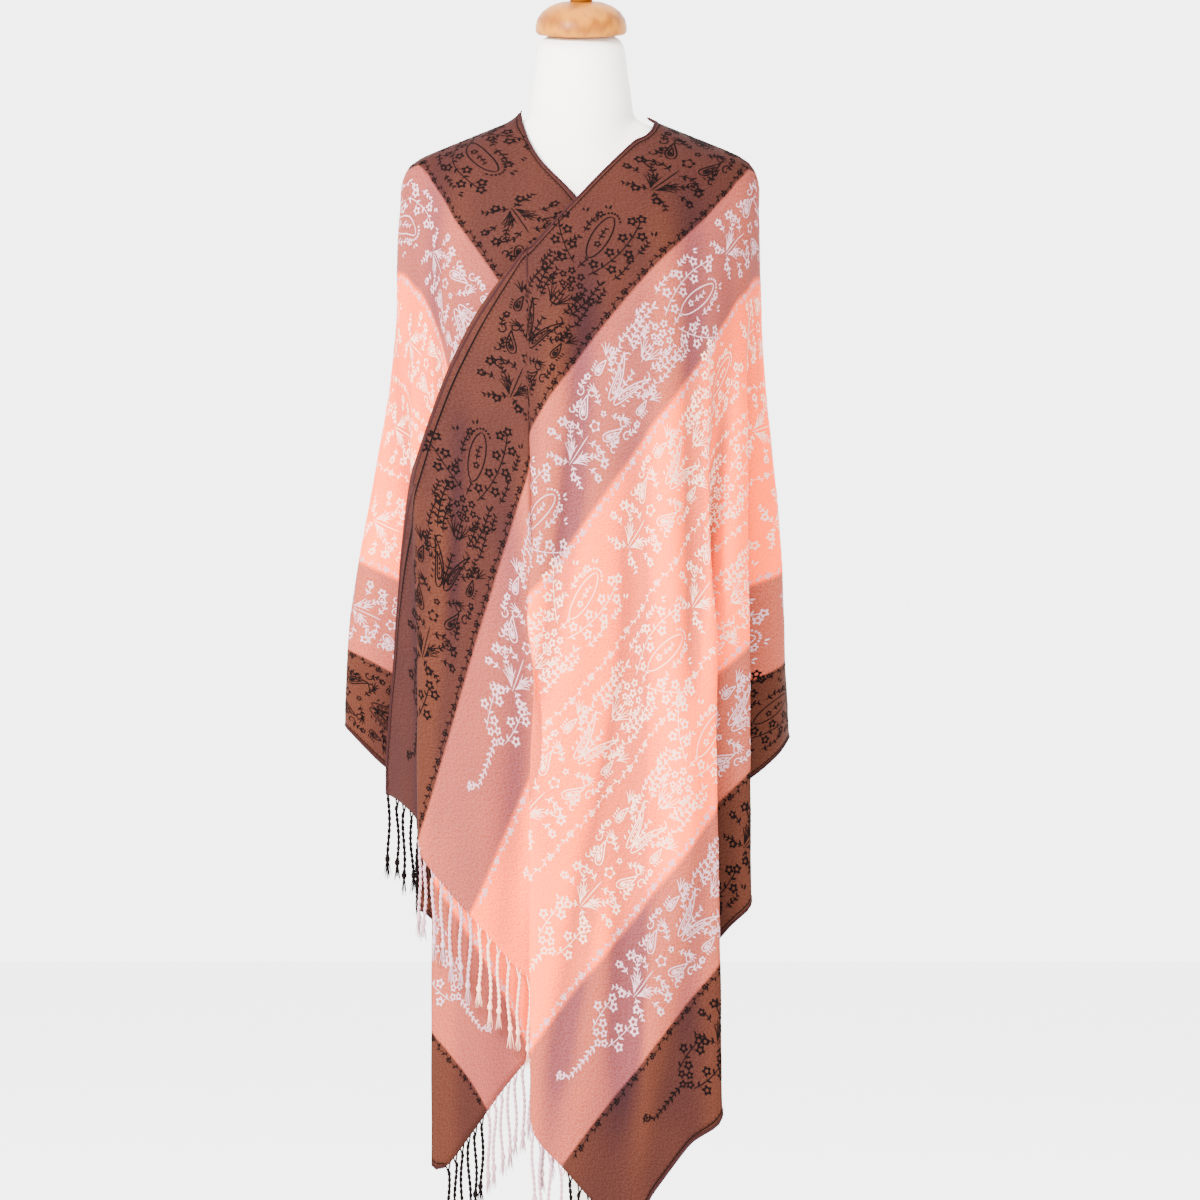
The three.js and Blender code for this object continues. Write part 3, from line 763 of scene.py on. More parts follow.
@dataclass(frozen=True)
class BandedCloth:
    """The banded twill ground, with painted orange light on its ridges and painted lilac shade in its
    troughs.

    Args:
        bands: where each band starts across the cloth, in millimetres, and its colour.
        softness: half-width of the change between two bands.
        ridge_painted_light: what ridges multiply the colour by, as painted light.
        trough_painted_shade: what troughs multiply the colour by, as painted shade.
        trough_shade_haze: what the painted shade in troughs gains for each part of red.
        trough_shade_haze_share: share of that gain.
        deep: what the darkest threads multiply the colour by.
        bright: what the brightest threads multiply the colour by.
        grain: fineness of the threads.
        thread: scale of the threads along and across the cloth.
        slant: slant of the twill, in radians.
        roughness: surface roughness.
    """

    bands: tuple = ((0.0, BROWN), (BAND, MAUVE), (2 * BAND, PEACH), (5 * BAND, MAUVE),
                    (6 * BAND, BROWN))
    softness: float = 1.2
    ridge_painted_light: Color = (1.20, 1.00, 0.72)
    trough_painted_shade: Color = (0.54, 0.52, 0.75)
    trough_shade_haze: Color = (0.55, 0.15, 0.11)
    trough_shade_haze_share: float = 0.25
    deep: Color = (0.70, 0.50, 0.34)
    bright: Color = (1.25, 1.45, 1.60)
    grain: float = 1150.0
    thread: tuple = (1.0, 0.35, 1.0)
    slant: float = 0.6
    roughness: float = 0.72

    def build(self, name: str) -> bpy.types.Material:
        """Builds the material.

        Args:
            name: the material's name.

        Returns:
            The material.
        """
        tree = NodeTree(name)
        uv = tree.nodes.new("ShaderNodeUVMap")
        uv.uv_map = "cloth"
        ground = self.band_color(tree, uv.outputs[0])
        # Painted light and shade: a per-point attribute mixes the darker, lilac trough tint with the
        # lighter, orange ridge tint
        painted_shading = tree.nodes.new("ShaderNodeAttribute")
        painted_shading.attribute_name = "painted_shading"
        red = tree.add("ShaderNodeSeparateColor", Color=ground).outputs["Red"]
        trough_shade_haze = tree.mix(1.0, self.trough_shade_haze, red, "MULTIPLY")
        trough_painted_shade = tree.mix(self.trough_shade_haze_share, tree.mix(1.0, ground, self.trough_painted_shade, "MULTIPLY"), trough_shade_haze)
        ridge_painted_light = tree.mix(1.0, ground, self.ridge_painted_light, "MULTIPLY")
        cloth = tree.mix(painted_shading.outputs["Fac"], trough_painted_shade, ridge_painted_light)
        stretched = tree.add("ShaderNodeMapping", Vector=uv.outputs[0], Scale=self.thread,
                             Rotation=(0.0, 0.0, self.slant))
        grain = tree.noise(stretched.outputs[0], self.grain)
        speckle = tree.add("ShaderNodeMapRange", Value=grain, From_Min=0.3, From_Max=0.7).outputs[0]
        deep = tree.mix(1.0, cloth, self.deep, "MULTIPLY")
        bright = tree.mix(1.0, cloth, self.bright, "MULTIPLY")
        tree.dress(tree.mix(speckle, deep, bright), self.roughness, MATT_SPECULAR)
        tree.bump(speckle, 0.12, 0.0005)
        return tree.material

    def band_color(self, tree: NodeTree, flat: bpy.types.NodeSocket) -> bpy.types.NodeSocket:
        """Colours the bands across the cloth.

        Args:
            tree: the material's nodes.
            flat: the flat coordinates, in metres.

        Returns:
            The band's colour.
        """
        parts = tree.add("ShaderNodeSeparateXYZ", Vector=flat)
        across = tree.nodes.new("ShaderNodeMath")
        across.operation = "MULTIPLY"
        tree.join(across.inputs[0], parts.outputs[1])
        tree.join(across.inputs[1], 1.0 / (WIDTH * MM))
        ramp = tree.nodes.new("ShaderNodeValToRGB")
        tree.join(ramp.inputs[0], across.outputs[0])
        places = []
        for k, (start, color) in enumerate(self.bands):
            if k:
                places.append(((start - self.softness) / WIDTH, self.bands[k - 1][1]))
            places.append(((start + self.softness) / WIDTH if k else 0.0, color))
        elements = ramp.color_ramp.elements
        while len(elements) < len(places):
            elements.new(1.0)
        for element, (place, color) in zip(elements, places):
            element.position = place
            element.color = (*color, 1.0)
        return ramp.outputs[0]


FINISHES = {
    Yarn.BLACK: Finish((0.0035, 0.0018, 0.0018), 0.85, 900.0, 0.3),
    Yarn.GREY: Finish((0.44, 0.26, 0.29), 0.8, 900.0, 0.2),
    Yarn.CREAM: Finish((0.80, 0.44, 0.33), 0.8, 900.0, 0.15),
    Yarn.LINEN: Finish((0.84, 0.79, 0.73), 0.9, 700.0, 0.1, 0.25),
    Yarn.PAINT: Finish((0.72, 0.68, 0.6), 0.35, 300.0, 0.03, 0.0),
    Yarn.WOOD: TurnedWood(),
    Yarn.GROUND: BandedCloth(),
}


def make_object(name: str, vertices: list, faces: list,
                material: bpy.types.Material) -> bpy.types.Object:
    """Makes a smooth-shaded piece.

    Args:
        name: the piece's name.
        vertices: its places, in metres.
        faces: the corners of each face.
        material: its material.

    Returns:
        The piece.
    """
    mesh = bpy.data.meshes.new(name)
    mesh.from_pydata(vertices, [], faces)
    mesh.materials.append(material)
    mesh.polygons.foreach_set("use_smooth", [True] * len(mesh.polygons))
    mesh.update()
    made = bpy.data.objects.new(name, mesh)
    bpy.context.scene.collection.objects.link(made)
    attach(made, "root")
    return made


@dataclass
class Shawl:
    """The sheet of cloth as one closed thin shell.

    Args:
        material: the ground material.
        painted_shading_base: share of painted light, as against painted shade, on flat cloth that faces
            the viewer.
        painted_shading_bulge: what a bulge of a millimetre adds to it, as painted light on ridges.
        painted_shading_lift: what a millimetre of a crease adds, as painted light on ridges and painted
            shade in troughs.
        painted_shading_facing: what facing the viewer adds, as painted light on cloth turned towards the
            camera.
        turned: how far cloth faces the viewer where that painted light adds nothing.
        nodes: the solids that it stands for.
    """

    material: bpy.types.Material
    painted_shading_base: float = 0.34
    painted_shading_bulge: float = 0.9
    painted_shading_lift: float = 0.07
    painted_shading_facing: float = 0.35
    turned: float = 0.6
    nodes: tuple = ("shawl_back", "shawl_right_folds", "shawl_over_panel", "shawl_left_folds",
                    "shawl_under_panel")

    def build(self) -> bpy.types.Object:
        """Builds the shell with its flat coordinates and its attribute of painted light and shade.

        Returns:
            The piece.
        """
        grid = np.concatenate([UNDER.grid[:0:-1], OVER.grid])
        outward = np.concatenate([UNDER.outward[:0:-1], OVER.outward])
        flat = np.concatenate([UNDER.flat[:0:-1] * [-1, 1], OVER.flat])
        lift = np.concatenate([UNDER.lift[:0:-1], OVER.lift])
        middle = len(UNDER.grid) - 1
        outward[middle] = (outward[middle - 1] + outward[middle + 1]) / 2
        columns, rows = grid.shape[:2]
        painted_shading = self.painted_shading_values(grid, outward, lift)
        layers = [grid + outward * side * SHEET_WALL / 2 for side in (1, -1)]
        vertices = np.concatenate([layer.reshape(-1, 3) for layer in layers]) * MM
        index = np.arange(columns * rows).reshape(columns, rows)
        front = np.stack([index[:-1, :-1], index[1:, :-1], index[1:, 1:], index[:-1, 1:]], -1)
        far = columns * rows
        faces = front.reshape(-1, 4).tolist() + (front[..., ::-1] + far).reshape(-1, 4).tolist()
        rim = list(index[:, 0]) + list(index[-1, 1:]) + list(index[-2::-1, -1])
        rim += list(index[0, -2:0:-1])
        for a, b in zip(rim, rim[1:] + rim[:1]):
            faces.append([int(b), int(a), int(a) + far, int(b) + far])
        made = make_object("shawl", vertices.tolist(), faces, self.material)
        mesh = made.data
        layer = mesh.uv_layers.new(name="cloth")
        corners = np.zeros(len(mesh.loops), int)
        mesh.loops.foreach_get("vertex_index", corners)
        coords = np.tile(flat.reshape(-1, 2), (2, 1)) * MM
        layer.data.foreach_set("uv", coords[corners].ravel())
        attribute = mesh.attributes.new("painted_shading", "FLOAT", "POINT")
        attribute.data.foreach_set("value", np.tile(painted_shading.ravel(), 2))
        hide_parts(*self.nodes)
        return made

    def painted_shading_values(self, grid: np.ndarray, outward: np.ndarray, lift: np.ndarray) -> np.ndarray:
        """Paints light on ridges and on cloth facing the viewer, and shade in troughs.

        Args:
            grid: places on the cloth.
            outward: the outward ways there.
            lift: heights of the creases there.

        Returns:
            The shares of painted light against painted shade, from 0 to 1.
        """
        # Painted light on ridges and painted shade in troughs, from the bulge and the crease height
        bulge = np.einsum("ijk,ijk->ij", grid[1:-1] * 2 - grid[:-2] - grid[2:], outward[1:-1])
        bulge = np.pad(bulge, ((1, 1), (0, 0)), mode="edge")
        for _ in range(6):
            bulge = (np.roll(bulge, 1, 0) + bulge * 2 + np.roll(bulge, -1, 0)) / 4
        # Painted light on cloth that faces the camera, painted shade on cloth turned away from it
        facing = np.clip(-outward[..., 1], 0, 1)
        share = self.painted_shading_base + self.painted_shading_bulge * bulge + self.painted_shading_lift * lift
        return np.clip(share + self.painted_shading_facing * (facing - self.turned), 0, 1)


class Weaver:
    """Gathers thin flat shapes on the laid-out cloth for one yarn."""

    def __init__(self) -> None:
        """Starts with no shapes."""
        self.points = []
        self.faces = []

    def strip(self, left: list, right: list) -> None:
        """Adds a strip between two rows of flat places.

        Args:
            left: the places along one side.
            right: the places along the other.
        """
        start = len(self.points)
        count = len(left)
        for a, b in zip(left, right):
            self.points.append(a)
            self.points.append(b)
        for k in range(count - 1):
            a = start + 2 * k
            self.faces.append([a, a + 1, a + 3, a + 2])

    def ribbon(self, path: np.ndarray, width: float) -> None:
        """Adds a line of even width, tapered at both ends.

        Args:
            path: flat places along it.
            width: its width, in millimetres.
        """
        way = np.gradient(path, axis=0)
        way /= np.maximum(np.linalg.norm(way, axis=1, keepdims=True), 1e-6)
        side = np.stack([-way[:, 1], way[:, 0]], -1)
        taper = np.ones(len(path))
        taper[0] = taper[-1] = 0.45
        reach = side * (width / 2 * taper)[:, None]
        self.strip((path + reach).tolist(), (path - reach).tolist())

    def build(self, name: str, yarn: Yarn, material: bpy.types.Material) -> bpy.types.Object:
        """Lays the gathered shapes on the outside of the cloth.

        Args:
            name: the piece's name.
            yarn: its yarn; not used.
            material: its material.

        Returns:
            The piece.
        """
        flat = np.array(self.points)
        flat[:, 0] = np.clip(flat[:, 0], -HALF_LENGTH + 1, HALF_LENGTH - 1)
        flat[:, 1] = np.clip(flat[:, 1], 1, WIDTH - 1)
        places = on_cloth(flat, SHEET_WALL / 2 + FIGURE_LIFT) * MM
        made = make_object(name, places.tolist(), self.faces, material)
        return made


UP = math.pi / 2
CURL_TURNS = 0.8
FINE_LINE = 0.8
STEM_LINE = 0.85


@dataclass
class Pen:
    """Draws a motif in its own upright frame and lays it at a place on the cloth.

    Args:
        weaver: where the shapes go.
        s: place along the cloth.
        t: place across it.
        turn: turn of the motif in radians.
        flip: -1 to mirror it.
        line: width of its lines.
    """

    weaver: Weaver
    s: float
    t: float
    turn: float = 0.0
    flip: int = 1
    line: float = 1.15

    def place(self, points: list | np.ndarray) -> np.ndarray:
        """Carries the motif's own points onto the flat cloth.

        Args:
            points: places in the motif's frame.

        Returns:
            The places on the flat cloth.
        """
        own = np.asarray(points, float) * np.array([self.flip, 1])
        cos, sin = math.cos(self.turn), math.sin(self.turn)
        x = own[:, 0] * cos - own[:, 1] * sin
        y = own[:, 0] * sin + own[:, 1] * cos
        return np.stack([self.s + x, self.t + y], -1)

    def path(self, points: list | np.ndarray, width: float = 0.0) -> None:
        """Draws a line."""
        self.weaver.ribbon(self.place(points), width or self.line)

    def leaf(self, x: float, y: float, angle: float, length: float, width: float) -> None:
        """Draws a filled pointed leaf.

        Args:
            x, y: its foot.
            angle: its heading, in radians.
            length, width: its size.
        """
        shares = np.array([0.0, 0.3, 0.65, 1.0])
        half = width / 2 * np.array([0.12, 0.92, 0.8, 0.05])
        way = np.array([math.cos(angle), math.sin(angle)])
        side = np.array([-way[1], way[0]])
        spine = np.array([x, y]) + shares[:, None] * length * way
        left = self.place(spine + side * half[:, None])
        right = self.place(spine - side * half[:, None])
        self.weaver.strip(left.tolist(), right.tolist())

    def flower(self, x: float, y: float, radius: float, turn: float = 0.3,
               eye: float = 0.36) -> None:
        """Draws an open flower: a ring of five lobes about a bare eye.

        Args:
            x, y: its middle.
            radius: its radius.
            turn: its turn, in radians.
            eye: radius of the eye as a share of its own.
        """
        angles = np.linspace(0, 2 * math.pi, 21)
        outer = radius * (0.8 + 0.22 * np.cos(5 * (angles - turn)))
        ways = np.stack([np.cos(angles), np.sin(angles)], -1)
        middle = np.array([x, y])
        self.weaver.strip(self.place(middle + outer[:, None] * ways).tolist(),
                          self.place(middle + eye * radius * ways).tolist())

    def at(self, x: float, y: float, turn: float) -> "Pen":
        """A pen set and turned within this one's frame."""
        s, t = self.place([(x, y)])[0]
        return Pen(self.weaver, s, t, self.turn + self.flip * turn, self.flip, self.line)

    def dot(self, x: float, y: float, radius: float) -> None:
        """Draws a small filled dot."""
        self.leaf(x - radius, y, 0.0, 2 * radius, 2.2 * radius)

    def stem(self, x: float, y: float, angle: float, length: float, bend: float) -> np.ndarray:
        """Draws a bent stem.

        Args:
            x, y: its foot.
            angle: its heading there, in radians.
            length: its length.
            bend: how far it turns on its way.

        Returns:
            The places along it.
        """
        count = max(int(length / 4.5), 3)
        angles = angle + bend * np.arange(count) / count
        steps = np.stack([np.cos(angles), np.sin(angles)], -1) * length / count
        places = np.array([x, y]) + np.concatenate([[[0, 0]], np.cumsum(steps, axis=0)])
        self.path(places, self.line * STEM_LINE)
        return places

    def curl(self, x: float, y: float, angle: float, size: float, hand: int) -> None:
        """Draws a hook that winds in.

        Args:
            x, y: its start.
            angle: the side of its middle that it starts from, in radians.
            size: its radius there.
            hand: 1 to wind to the left, -1 to the right.
        """
        shares = np.linspace(0, 1, 9)
        radii = size * (1 - 0.75 * shares)
        angles = angle + hand * CURL_TURNS * 2 * math.pi * shares
        centre = np.array([x - size * math.cos(angle), y - size * math.sin(angle)])
        self.path(centre + np.stack([radii * np.cos(angles), radii * np.sin(angles)], -1))

    def twig(self, x: float, y: float, angle: float, length: float, bend: float, pairs: int,
             leaf: float = 4.6) -> np.ndarray:
        """Draws a bent stem with pairs of small pointed leaves.

        Args:
            x, y: its foot.
            angle, length, bend: its stem's heading, length and turn.
            pairs: number of pairs.
            leaf: length of a leaf.

        Returns:
            The place of its end.
        """
        places = self.stem(x, y, angle, length, bend)
        shares = np.linspace(0, 1, len(places))
        for k in range(pairs):
            share = (k + 0.6) / pairs
            at = [np.interp(share, shares, places[:, m]) for m in range(2)]
            heading = angle + bend * share
            for hand in (1, -1):
                reach = leaf * (1.1 - 0.3 * share) * (1.15 if (k + (hand > 0)) % 2 else 0.8)
                self.leaf(*at, heading + hand * 0.9, reach, reach * 0.42)
        return places[-1]

    def sprig(self, x: float, y: float, angle: float, length: float, bend: float, pairs: int,
              bloom: float) -> None:
        """Draws a leafy stem with a flower at its end.

        Args:
            x, y: its foot.
            angle, length, bend: its stem's heading, length and turn.
            pairs: number of pairs of leaves.
            bloom: radius of the flower.
        """
        end = self.twig(x, y, angle, length, bend, pairs)
        way = np.array([math.cos(angle + bend), math.sin(angle + bend)])
        self.flower(*(end + 0.6 * bloom * way), bloom, angle)

    def spray(self, x: float, y: float, angle: float, length: float, bend: float, twigs: int,
              bloom: float = 5.2) -> None:
        """Draws a bent stem with flowers on twigs to both sides in turn and one at its end.

        Args:
            x, y: its foot.
            angle, length, bend: its stem's heading, length and turn.
            twigs: number of twigs.
            bloom: radius of a flower.
        """
        places = self.stem(x, y, angle, length, bend)
        shares = np.linspace(0, 1, len(places))
        for k in range(twigs):
            share = (k + 0.5) / (twigs + 0.3)
            at = np.array([np.interp(share, shares, places[:, m]) for m in range(2)])
            heading = angle + bend * share
            hand = 1 if k % 2 else -1
            way = np.array([math.cos(heading + hand * 0.9), math.sin(heading + hand * 0.9)])
            self.path([at, at + bloom * 1.1 * way], self.line * FINE_LINE)
            self.flower(*(at + bloom * 1.75 * way), bloom, heading)
            self.leaf(*at, heading - hand * 0.9, bloom * 1.1, bloom * 0.42)
        self.flower(*(places[-1] + 0.5 * bloom * (places[-1] - places[-2]) / 4.5), bloom, angle)

    def teardrop(self, length: float, width: float, lean: float, scale: float = 1.0,
                 line: float = 0.0) -> None:
        """Draws a paisley outline from a round foot at the pen up into a bent tip.

        Args:
            length, width: its size.
            lean: how far its tip leans aside.
            scale: scale about its middle.
            line: width of its line, or 0 for the pen's own.
        """
        angles = np.linspace(0, 2 * math.pi, 22)
        share = (1 - np.cos(angles)) / 2
        half = np.sin(angles) * width / 2 * (1 - share) ** 0.55
        middle = 0.32 * length
        x = half * scale + lean * share**2.4 * scale
        self.path(np.stack([x, middle + (share * length - middle) * scale], -1), line)

    def paisley(self, length: float, width: float, lean: float) -> None:
        """Draws a small paisley with a bud inside and a fringe of strokes down its back.

        Args:
            length, width: its size.
            lean: how far its tip leans aside.
        """
        self.teardrop(length, width, lean)
        self.teardrop(length, width, lean, 0.5, self.line * FINE_LINE)
        self.leaf(0.0, 0.2 * length, UP, 0.3 * length, 0.16 * length)
        back = -1 if lean > 0 else 1
        for k in range(4):
            share = 0.15 + 0.17 * k
            self.leaf(back * width * (0.56 - 0.35 * share), share * length, UP - back, 3.6, 1.5)

    def feather(self, x: float, y: float, angle: float, length: float, spread: float,
                count: int) -> None:
        """Draws a fan of slim bent lines, as a plume.

        Args:
            x, y: its foot.
            angle: its heading, in radians.
            length: length of its middle line.
            spread: angle between its outer lines.
            count: number of lines.
        """
        for k in range(count):
            off = (k / (count - 1) - 0.5) * spread
            reach = length * (1 - 0.35 * abs(off) / spread)
            places = [np.array([x, y])]
            for share in (0.15, 0.5, 0.85):
                way = angle + off * (0.4 + 1.1 * share)
                places.append(places[-1] + reach / 3 * np.array([math.cos(way), math.sin(way)]))
            self.path(places, self.line * FINE_LINE)


def blossom_part(pen: Pen) -> None:
    """A pointed oval with a flower inside, between two sprays of blossom.

    Args:
        pen: the pen, set at the middle of the repeat.
    """
    oval = pen.at(5, 90, -0.14)
    angles = np.linspace(0, math.pi, 12)
    for hand in (-1, 1):
        oval.path(np.stack([hand * 8.2 * np.sin(angles) ** 1.15, -25 * np.cos(angles)], -1))
    oval.flower(-1, -8, 3.8)
    oval.twig(0, -3, UP, 15, 0.15, 3, 3.8)
    for k in range(9):
        angle = math.pi * (0.12 + 0.62 * k / 8)
        oval.dot(12.0 * math.cos(angle), 8 + 21 * math.sin(angle), 1.25)
    pen.spray(-9, 50, UP + 0.42, 78, -0.75, 7)
    pen.spray(8, 52, UP - 1.15, 54, 0.5, 6)
    pen.twig(3, 50, UP + 0.1, 15, 0.1, 2, 4.2)
    pen.sprig(20, 84, UP - 0.2, 24, 0.5, 4, 4.2)
    pen.twig(26, 66, UP + 0.6, 14, -0.5, 3)
    pen.sprig(-30, 60, UP + 0.3, 26, -0.6, 4, 4.0)
    pen.twig(-32, 96, UP + 0.2, 18, -0.5, 4)
    for x, y in ((-24, 50), (31, 104), (16, 120), (-33, 122), (24, 48)):
        pen.leaf(x, y, UP + 0.4 * math.sin(x), 5.5, 2.4)
        pen.leaf(x + 2, y - 1, UP - 0.9, 4.4, 2.0)


def leafy_part(pen: Pen) -> None:
    """A posy between two upright leafy twigs, over a plume.

    Args:
        pen: the pen, set at the middle of the repeat.
    """
    for hand in (-1, 1):
        pen.twig(hand * 19, 4, UP - hand * 0.25, 47, hand * 0.35, 8, 5.2)
        pen.twig(hand * 8, 18, UP - hand * 0.75, 22, hand * 0.9, 4, 4.4)
        pen.flower(hand * 5.2, 44, 4.2, 0.2)
        pen.flower(hand * 4.6, 28, 3.6, 0.9)
        pen.flower(hand * 9.5, 36, 3.9, 0.7)
        pen.feather(hand * 3, 4, UP - hand * 0.35, 20, 0.8, 4)
        pen.sprig(hand * 28, -2, UP - hand * 0.1, 30, hand * 0.3, 5, 4.4)
        pen.twig(hand * 13, 2, UP - hand * 0.3, 26, hand * 0.5, 5, 4.6)
        pen.twig(hand * 33, 30, UP + hand * 0.3, 18, -hand * 0.5, 4)
        pen.curl(hand * 12, 30, UP + hand * 0.5, 5.0, -hand)
    pen.flower(0, 36, 4.6, 0.5)
    pen.twig(0, 0, UP, 32, 0.0, 5, 4.4)


def paisley_part(pen: Pen) -> None:
    """Two long paisleys set as a V, with small ones beside and below.

    Args:
        pen: the pen, set at the middle of the repeat.
    """
    for hand in (-1, 1):
        arm = pen.at(hand * 3, -50, -hand * 0.16)
        arm.teardrop(48, 10, hand * 9)
        arm.teardrop(48, 10, hand * 9, 0.55, pen.line * FINE_LINE)
        for k in range(6):
            arm.leaf(0.4 * hand * k, 7 + 4.6 * k, UP, 3.2, 1.4)
            arm.leaf(hand * (5.8 - 0.2 * k), 6 + 6.2 * k, UP - hand * 0.9, 4.4, 1.8)
        pen.curl(hand * 21, -9, UP - hand * 0.2, 6.0, hand)
        pen.curl(hand * 12, -2, UP + hand * 0.4, 5.0, -hand)
        pen.at(hand * 27, -40, -hand * 0.35).paisley(17, 9, -hand * 5)
        pen.sprig(hand * 14, -28, UP - hand * 1.15, 22, hand * 0.95, 4, 3.6)
        pen.curl(hand * 24, -50, UP - hand * 0.2, 6.5, hand)
        pen.curl(hand * 33, -58, UP - hand * 0.1, 5.5, hand)
        pen.at(hand * 13, -82, -hand * 0.75).paisley(23, 11.5, -hand * 7)
        pen.twig(hand * 7, -60, UP - hand * 1.2, 15, hand * 0.7, 3, 4.4)
        pen.feather(hand * 18, -54, UP - hand * 1.4, 12, 1.1, 4)
        pen.twig(hand * 24, -24, UP - hand * 0.2, 22, hand * 0.4, 5, 4.8)
        pen.feather(hand * 31, -20, UP - hand * 0.5, 15, 1.0, 4)
        pen.sprig(hand * 32, -62, UP - hand * 0.5, 14, hand * 0.9, 3, 3.6)
        pen.curl(hand * 24, -66, UP + hand * 0.3, 6.0, hand)
        pen.curl(hand * 31, -78, UP - hand * 0.3, 5.0, hand)
        pen.twig(hand * 25, -84, UP - hand * 0.3, 15, hand * 0.9, 3, 4.4)
    pen.twig(0, -46, UP, 34, 0.0, 5, 5.0)
    pen.flower(0, -79, 6.2, 0.0, 0.55)
    pen.flower(0, -64, 3.4)


def tuft_part(pen: Pen) -> None:
    """A tuft of plumes between drooping flowers.

    Args:
        pen: the pen, set at the middle of the repeat.
    """
    pen.stem(0, -125, UP, 34, 0.0)
    for hand in (-1, 1):
        pen.feather(hand * 2, -122, UP - hand * 0.55, 21, 0.9, 5)
        pen.feather(hand * 3, -112, UP - hand * 1.1, 15, 0.9, 4)
        pen.sprig(hand * 4, -96, UP - hand * 1.0, 26, -hand * 1.5, 4, 5.0)
        pen.sprig(hand * 2, -124, -UP + hand * 1.2, 9, -hand * 0.6, 2, 4.6)
        pen.curl(hand * 16, -96, UP + hand * 1.2, 6.0, -hand)
        pen.leaf(hand * 27, -98, UP - hand * 0.6, 7, 3.0)
        pen.sprig(hand * 19, -114, UP - hand * 1.2, 12, -hand * 0.8, 2, 4.2)
        pen.twig(hand * 11, -128, -UP + hand * 1.3, 14, -hand * 0.5, 3, 4.4)
        pen.twig(hand * 12, -106, UP - hand * 0.9, 13, hand * 0.6, 3, 4.4)


def trailing_part(pen: Pen) -> None:
    """A long leafy vine that hangs down to a curl, under a knot of flowers.

    Args:
        pen: the pen, set at the middle of the vine.
    """
    pen.spray(-12, 2, UP + 0.25, 34, -0.3, 3)
    pen.spray(12, 2, UP - 0.3, 34, 0.4, 3)
    for x, y in ((0, 8), (-7, 3), (7, 2), (1, -3)):
        pen.flower(x, y, 4.4, x)
    pen.twig(0, -6, -UP + 0.1, 44, -0.25, 8, 5.0)
    pen.curl(-4, -50, 0.4, 6.0, -1)
    pen.twig(-3, -48, -UP - 0.9, 13, 0.6, 3, 4.6)


def border_line(weaver: Weaver, t: float, seed: float) -> None:
    """A running vine of small flowers and leaves along a band's edge.

    Args:
        weaver: where its shapes go.
        t: its place across the cloth.
        seed: varies its sway.
    """
    pitch, start, line = 9.6, -HALF_LENGTH + 14, 0.9
    for k in range(int(2 * (HALF_LENGTH - 10) / pitch)):
        pen = Pen(weaver, start + k * pitch, t, 0.2 * math.sin(k * 1.9 + seed), 1, line)
        hand = 1 if k % 2 else -1
        pen.path([(-4.8, -hand * 1.1), (0.0, 0.0), (4.8, hand * 1.1)])
        pen.leaf(0.0, 0.0, hand * 1.1, 4.4, 2.0)
        pen.leaf(-2.2, -hand * 0.5, -hand * 1.0, 3.6, 1.7)
        if k % 3 == 0:
            pen.flower(2.6, -hand * 1.4, 2.9, 0.4, 0.25)


def weave_band(weaver: Weaver, index: int, line: float) -> None:
    """Fills one band with the repeat, and ends it with a trailing vine short of each fringe.

    Args:
        weaver: where its shapes go.
        index: number of the band from the neck edge.
        line: width of its lines.
    """
    t = (index + 0.5) * BAND
    vine_at = HALF_LENGTH - 106 - (index * 37) % 60
    for end in (1, -1):
        trailing_part(Pen(weaver, end * vine_at, t, end * UP, end, line))
    reach = vine_at - 38
    count = round(2 * reach / REPEAT)
    for k in range(count):
        s = reach - (k + 0.5) * 2 * reach / count
        pen = Pen(weaver, s, t, UP + 0.03 * math.sin(k * 2.3), 1 if index % 2 else -1, line)
        for part in (blossom_part, leafy_part, paisley_part, tuft_part):
            part(pen)


@dataclass
class Figure:
    """The woven figure and the stitches beside the hems.

    Args:
        materials: the material of each yarn.
        dark_line: width of the dark lines, in millimetres.
        pale_line: width of the pale lines.
        border: distance of the running vines and stitches from their edge.
        stitch: spacing of the stitches.
    """

    materials: dict
    dark_line: float = 1.25
    pale_line: float = 1.15
    border: float = 4.5
    stitch: float = 5.0

    def build(self) -> list[bpy.types.Object]:
        """Builds one mesh of figure for each yarn.

        Returns:
            The pieces.
        """
        plan = {
            Yarn.BLACK: ((0, 6), (BAND, 6 * BAND)),
            Yarn.GREY: ((1, 5), (2 * BAND, 5 * BAND)),
            Yarn.CREAM: ((2, 3, 4), (3 * BAND, 4 * BAND)),
        }
        pieces = []
        for yarn, (bands, edges) in plan.items():
            weaver = Weaver()
            dark = yarn is Yarn.BLACK
            for index in bands:
                weave_band(weaver, index, self.dark_line if dark else self.pale_line)
            for t in edges:
                inward = -self.border if t > WIDTH / 2 else self.border
                border_line(weaver, t - inward if dark else t + inward, t)
            if dark:
                self.add_stitches(weaver)
            pieces.append(weaver.build(f"figure_{yarn.name.lower()}", yarn, self.materials[yarn]))
        return pieces

    def add_stitches(self, weaver: Weaver) -> None:
        """Adds the dark line and small stitches beside each rolled hem.

        Args:
            weaver: where they go.
        """
        for t in (self.border, WIDTH - self.border):
            along = np.arange(-HALF_LENGTH + 2, HALF_LENGTH - 1, self.stitch)
            weaver.ribbon(np.stack([along, np.full_like(along, t)], -1), 0.9)
            inward = 1 if t < WIDTH / 2 else -1
            for s in along:
                weaver.ribbon(np.array([(s, t), (s + 1.6, t + inward * 2.2)]), 0.8)


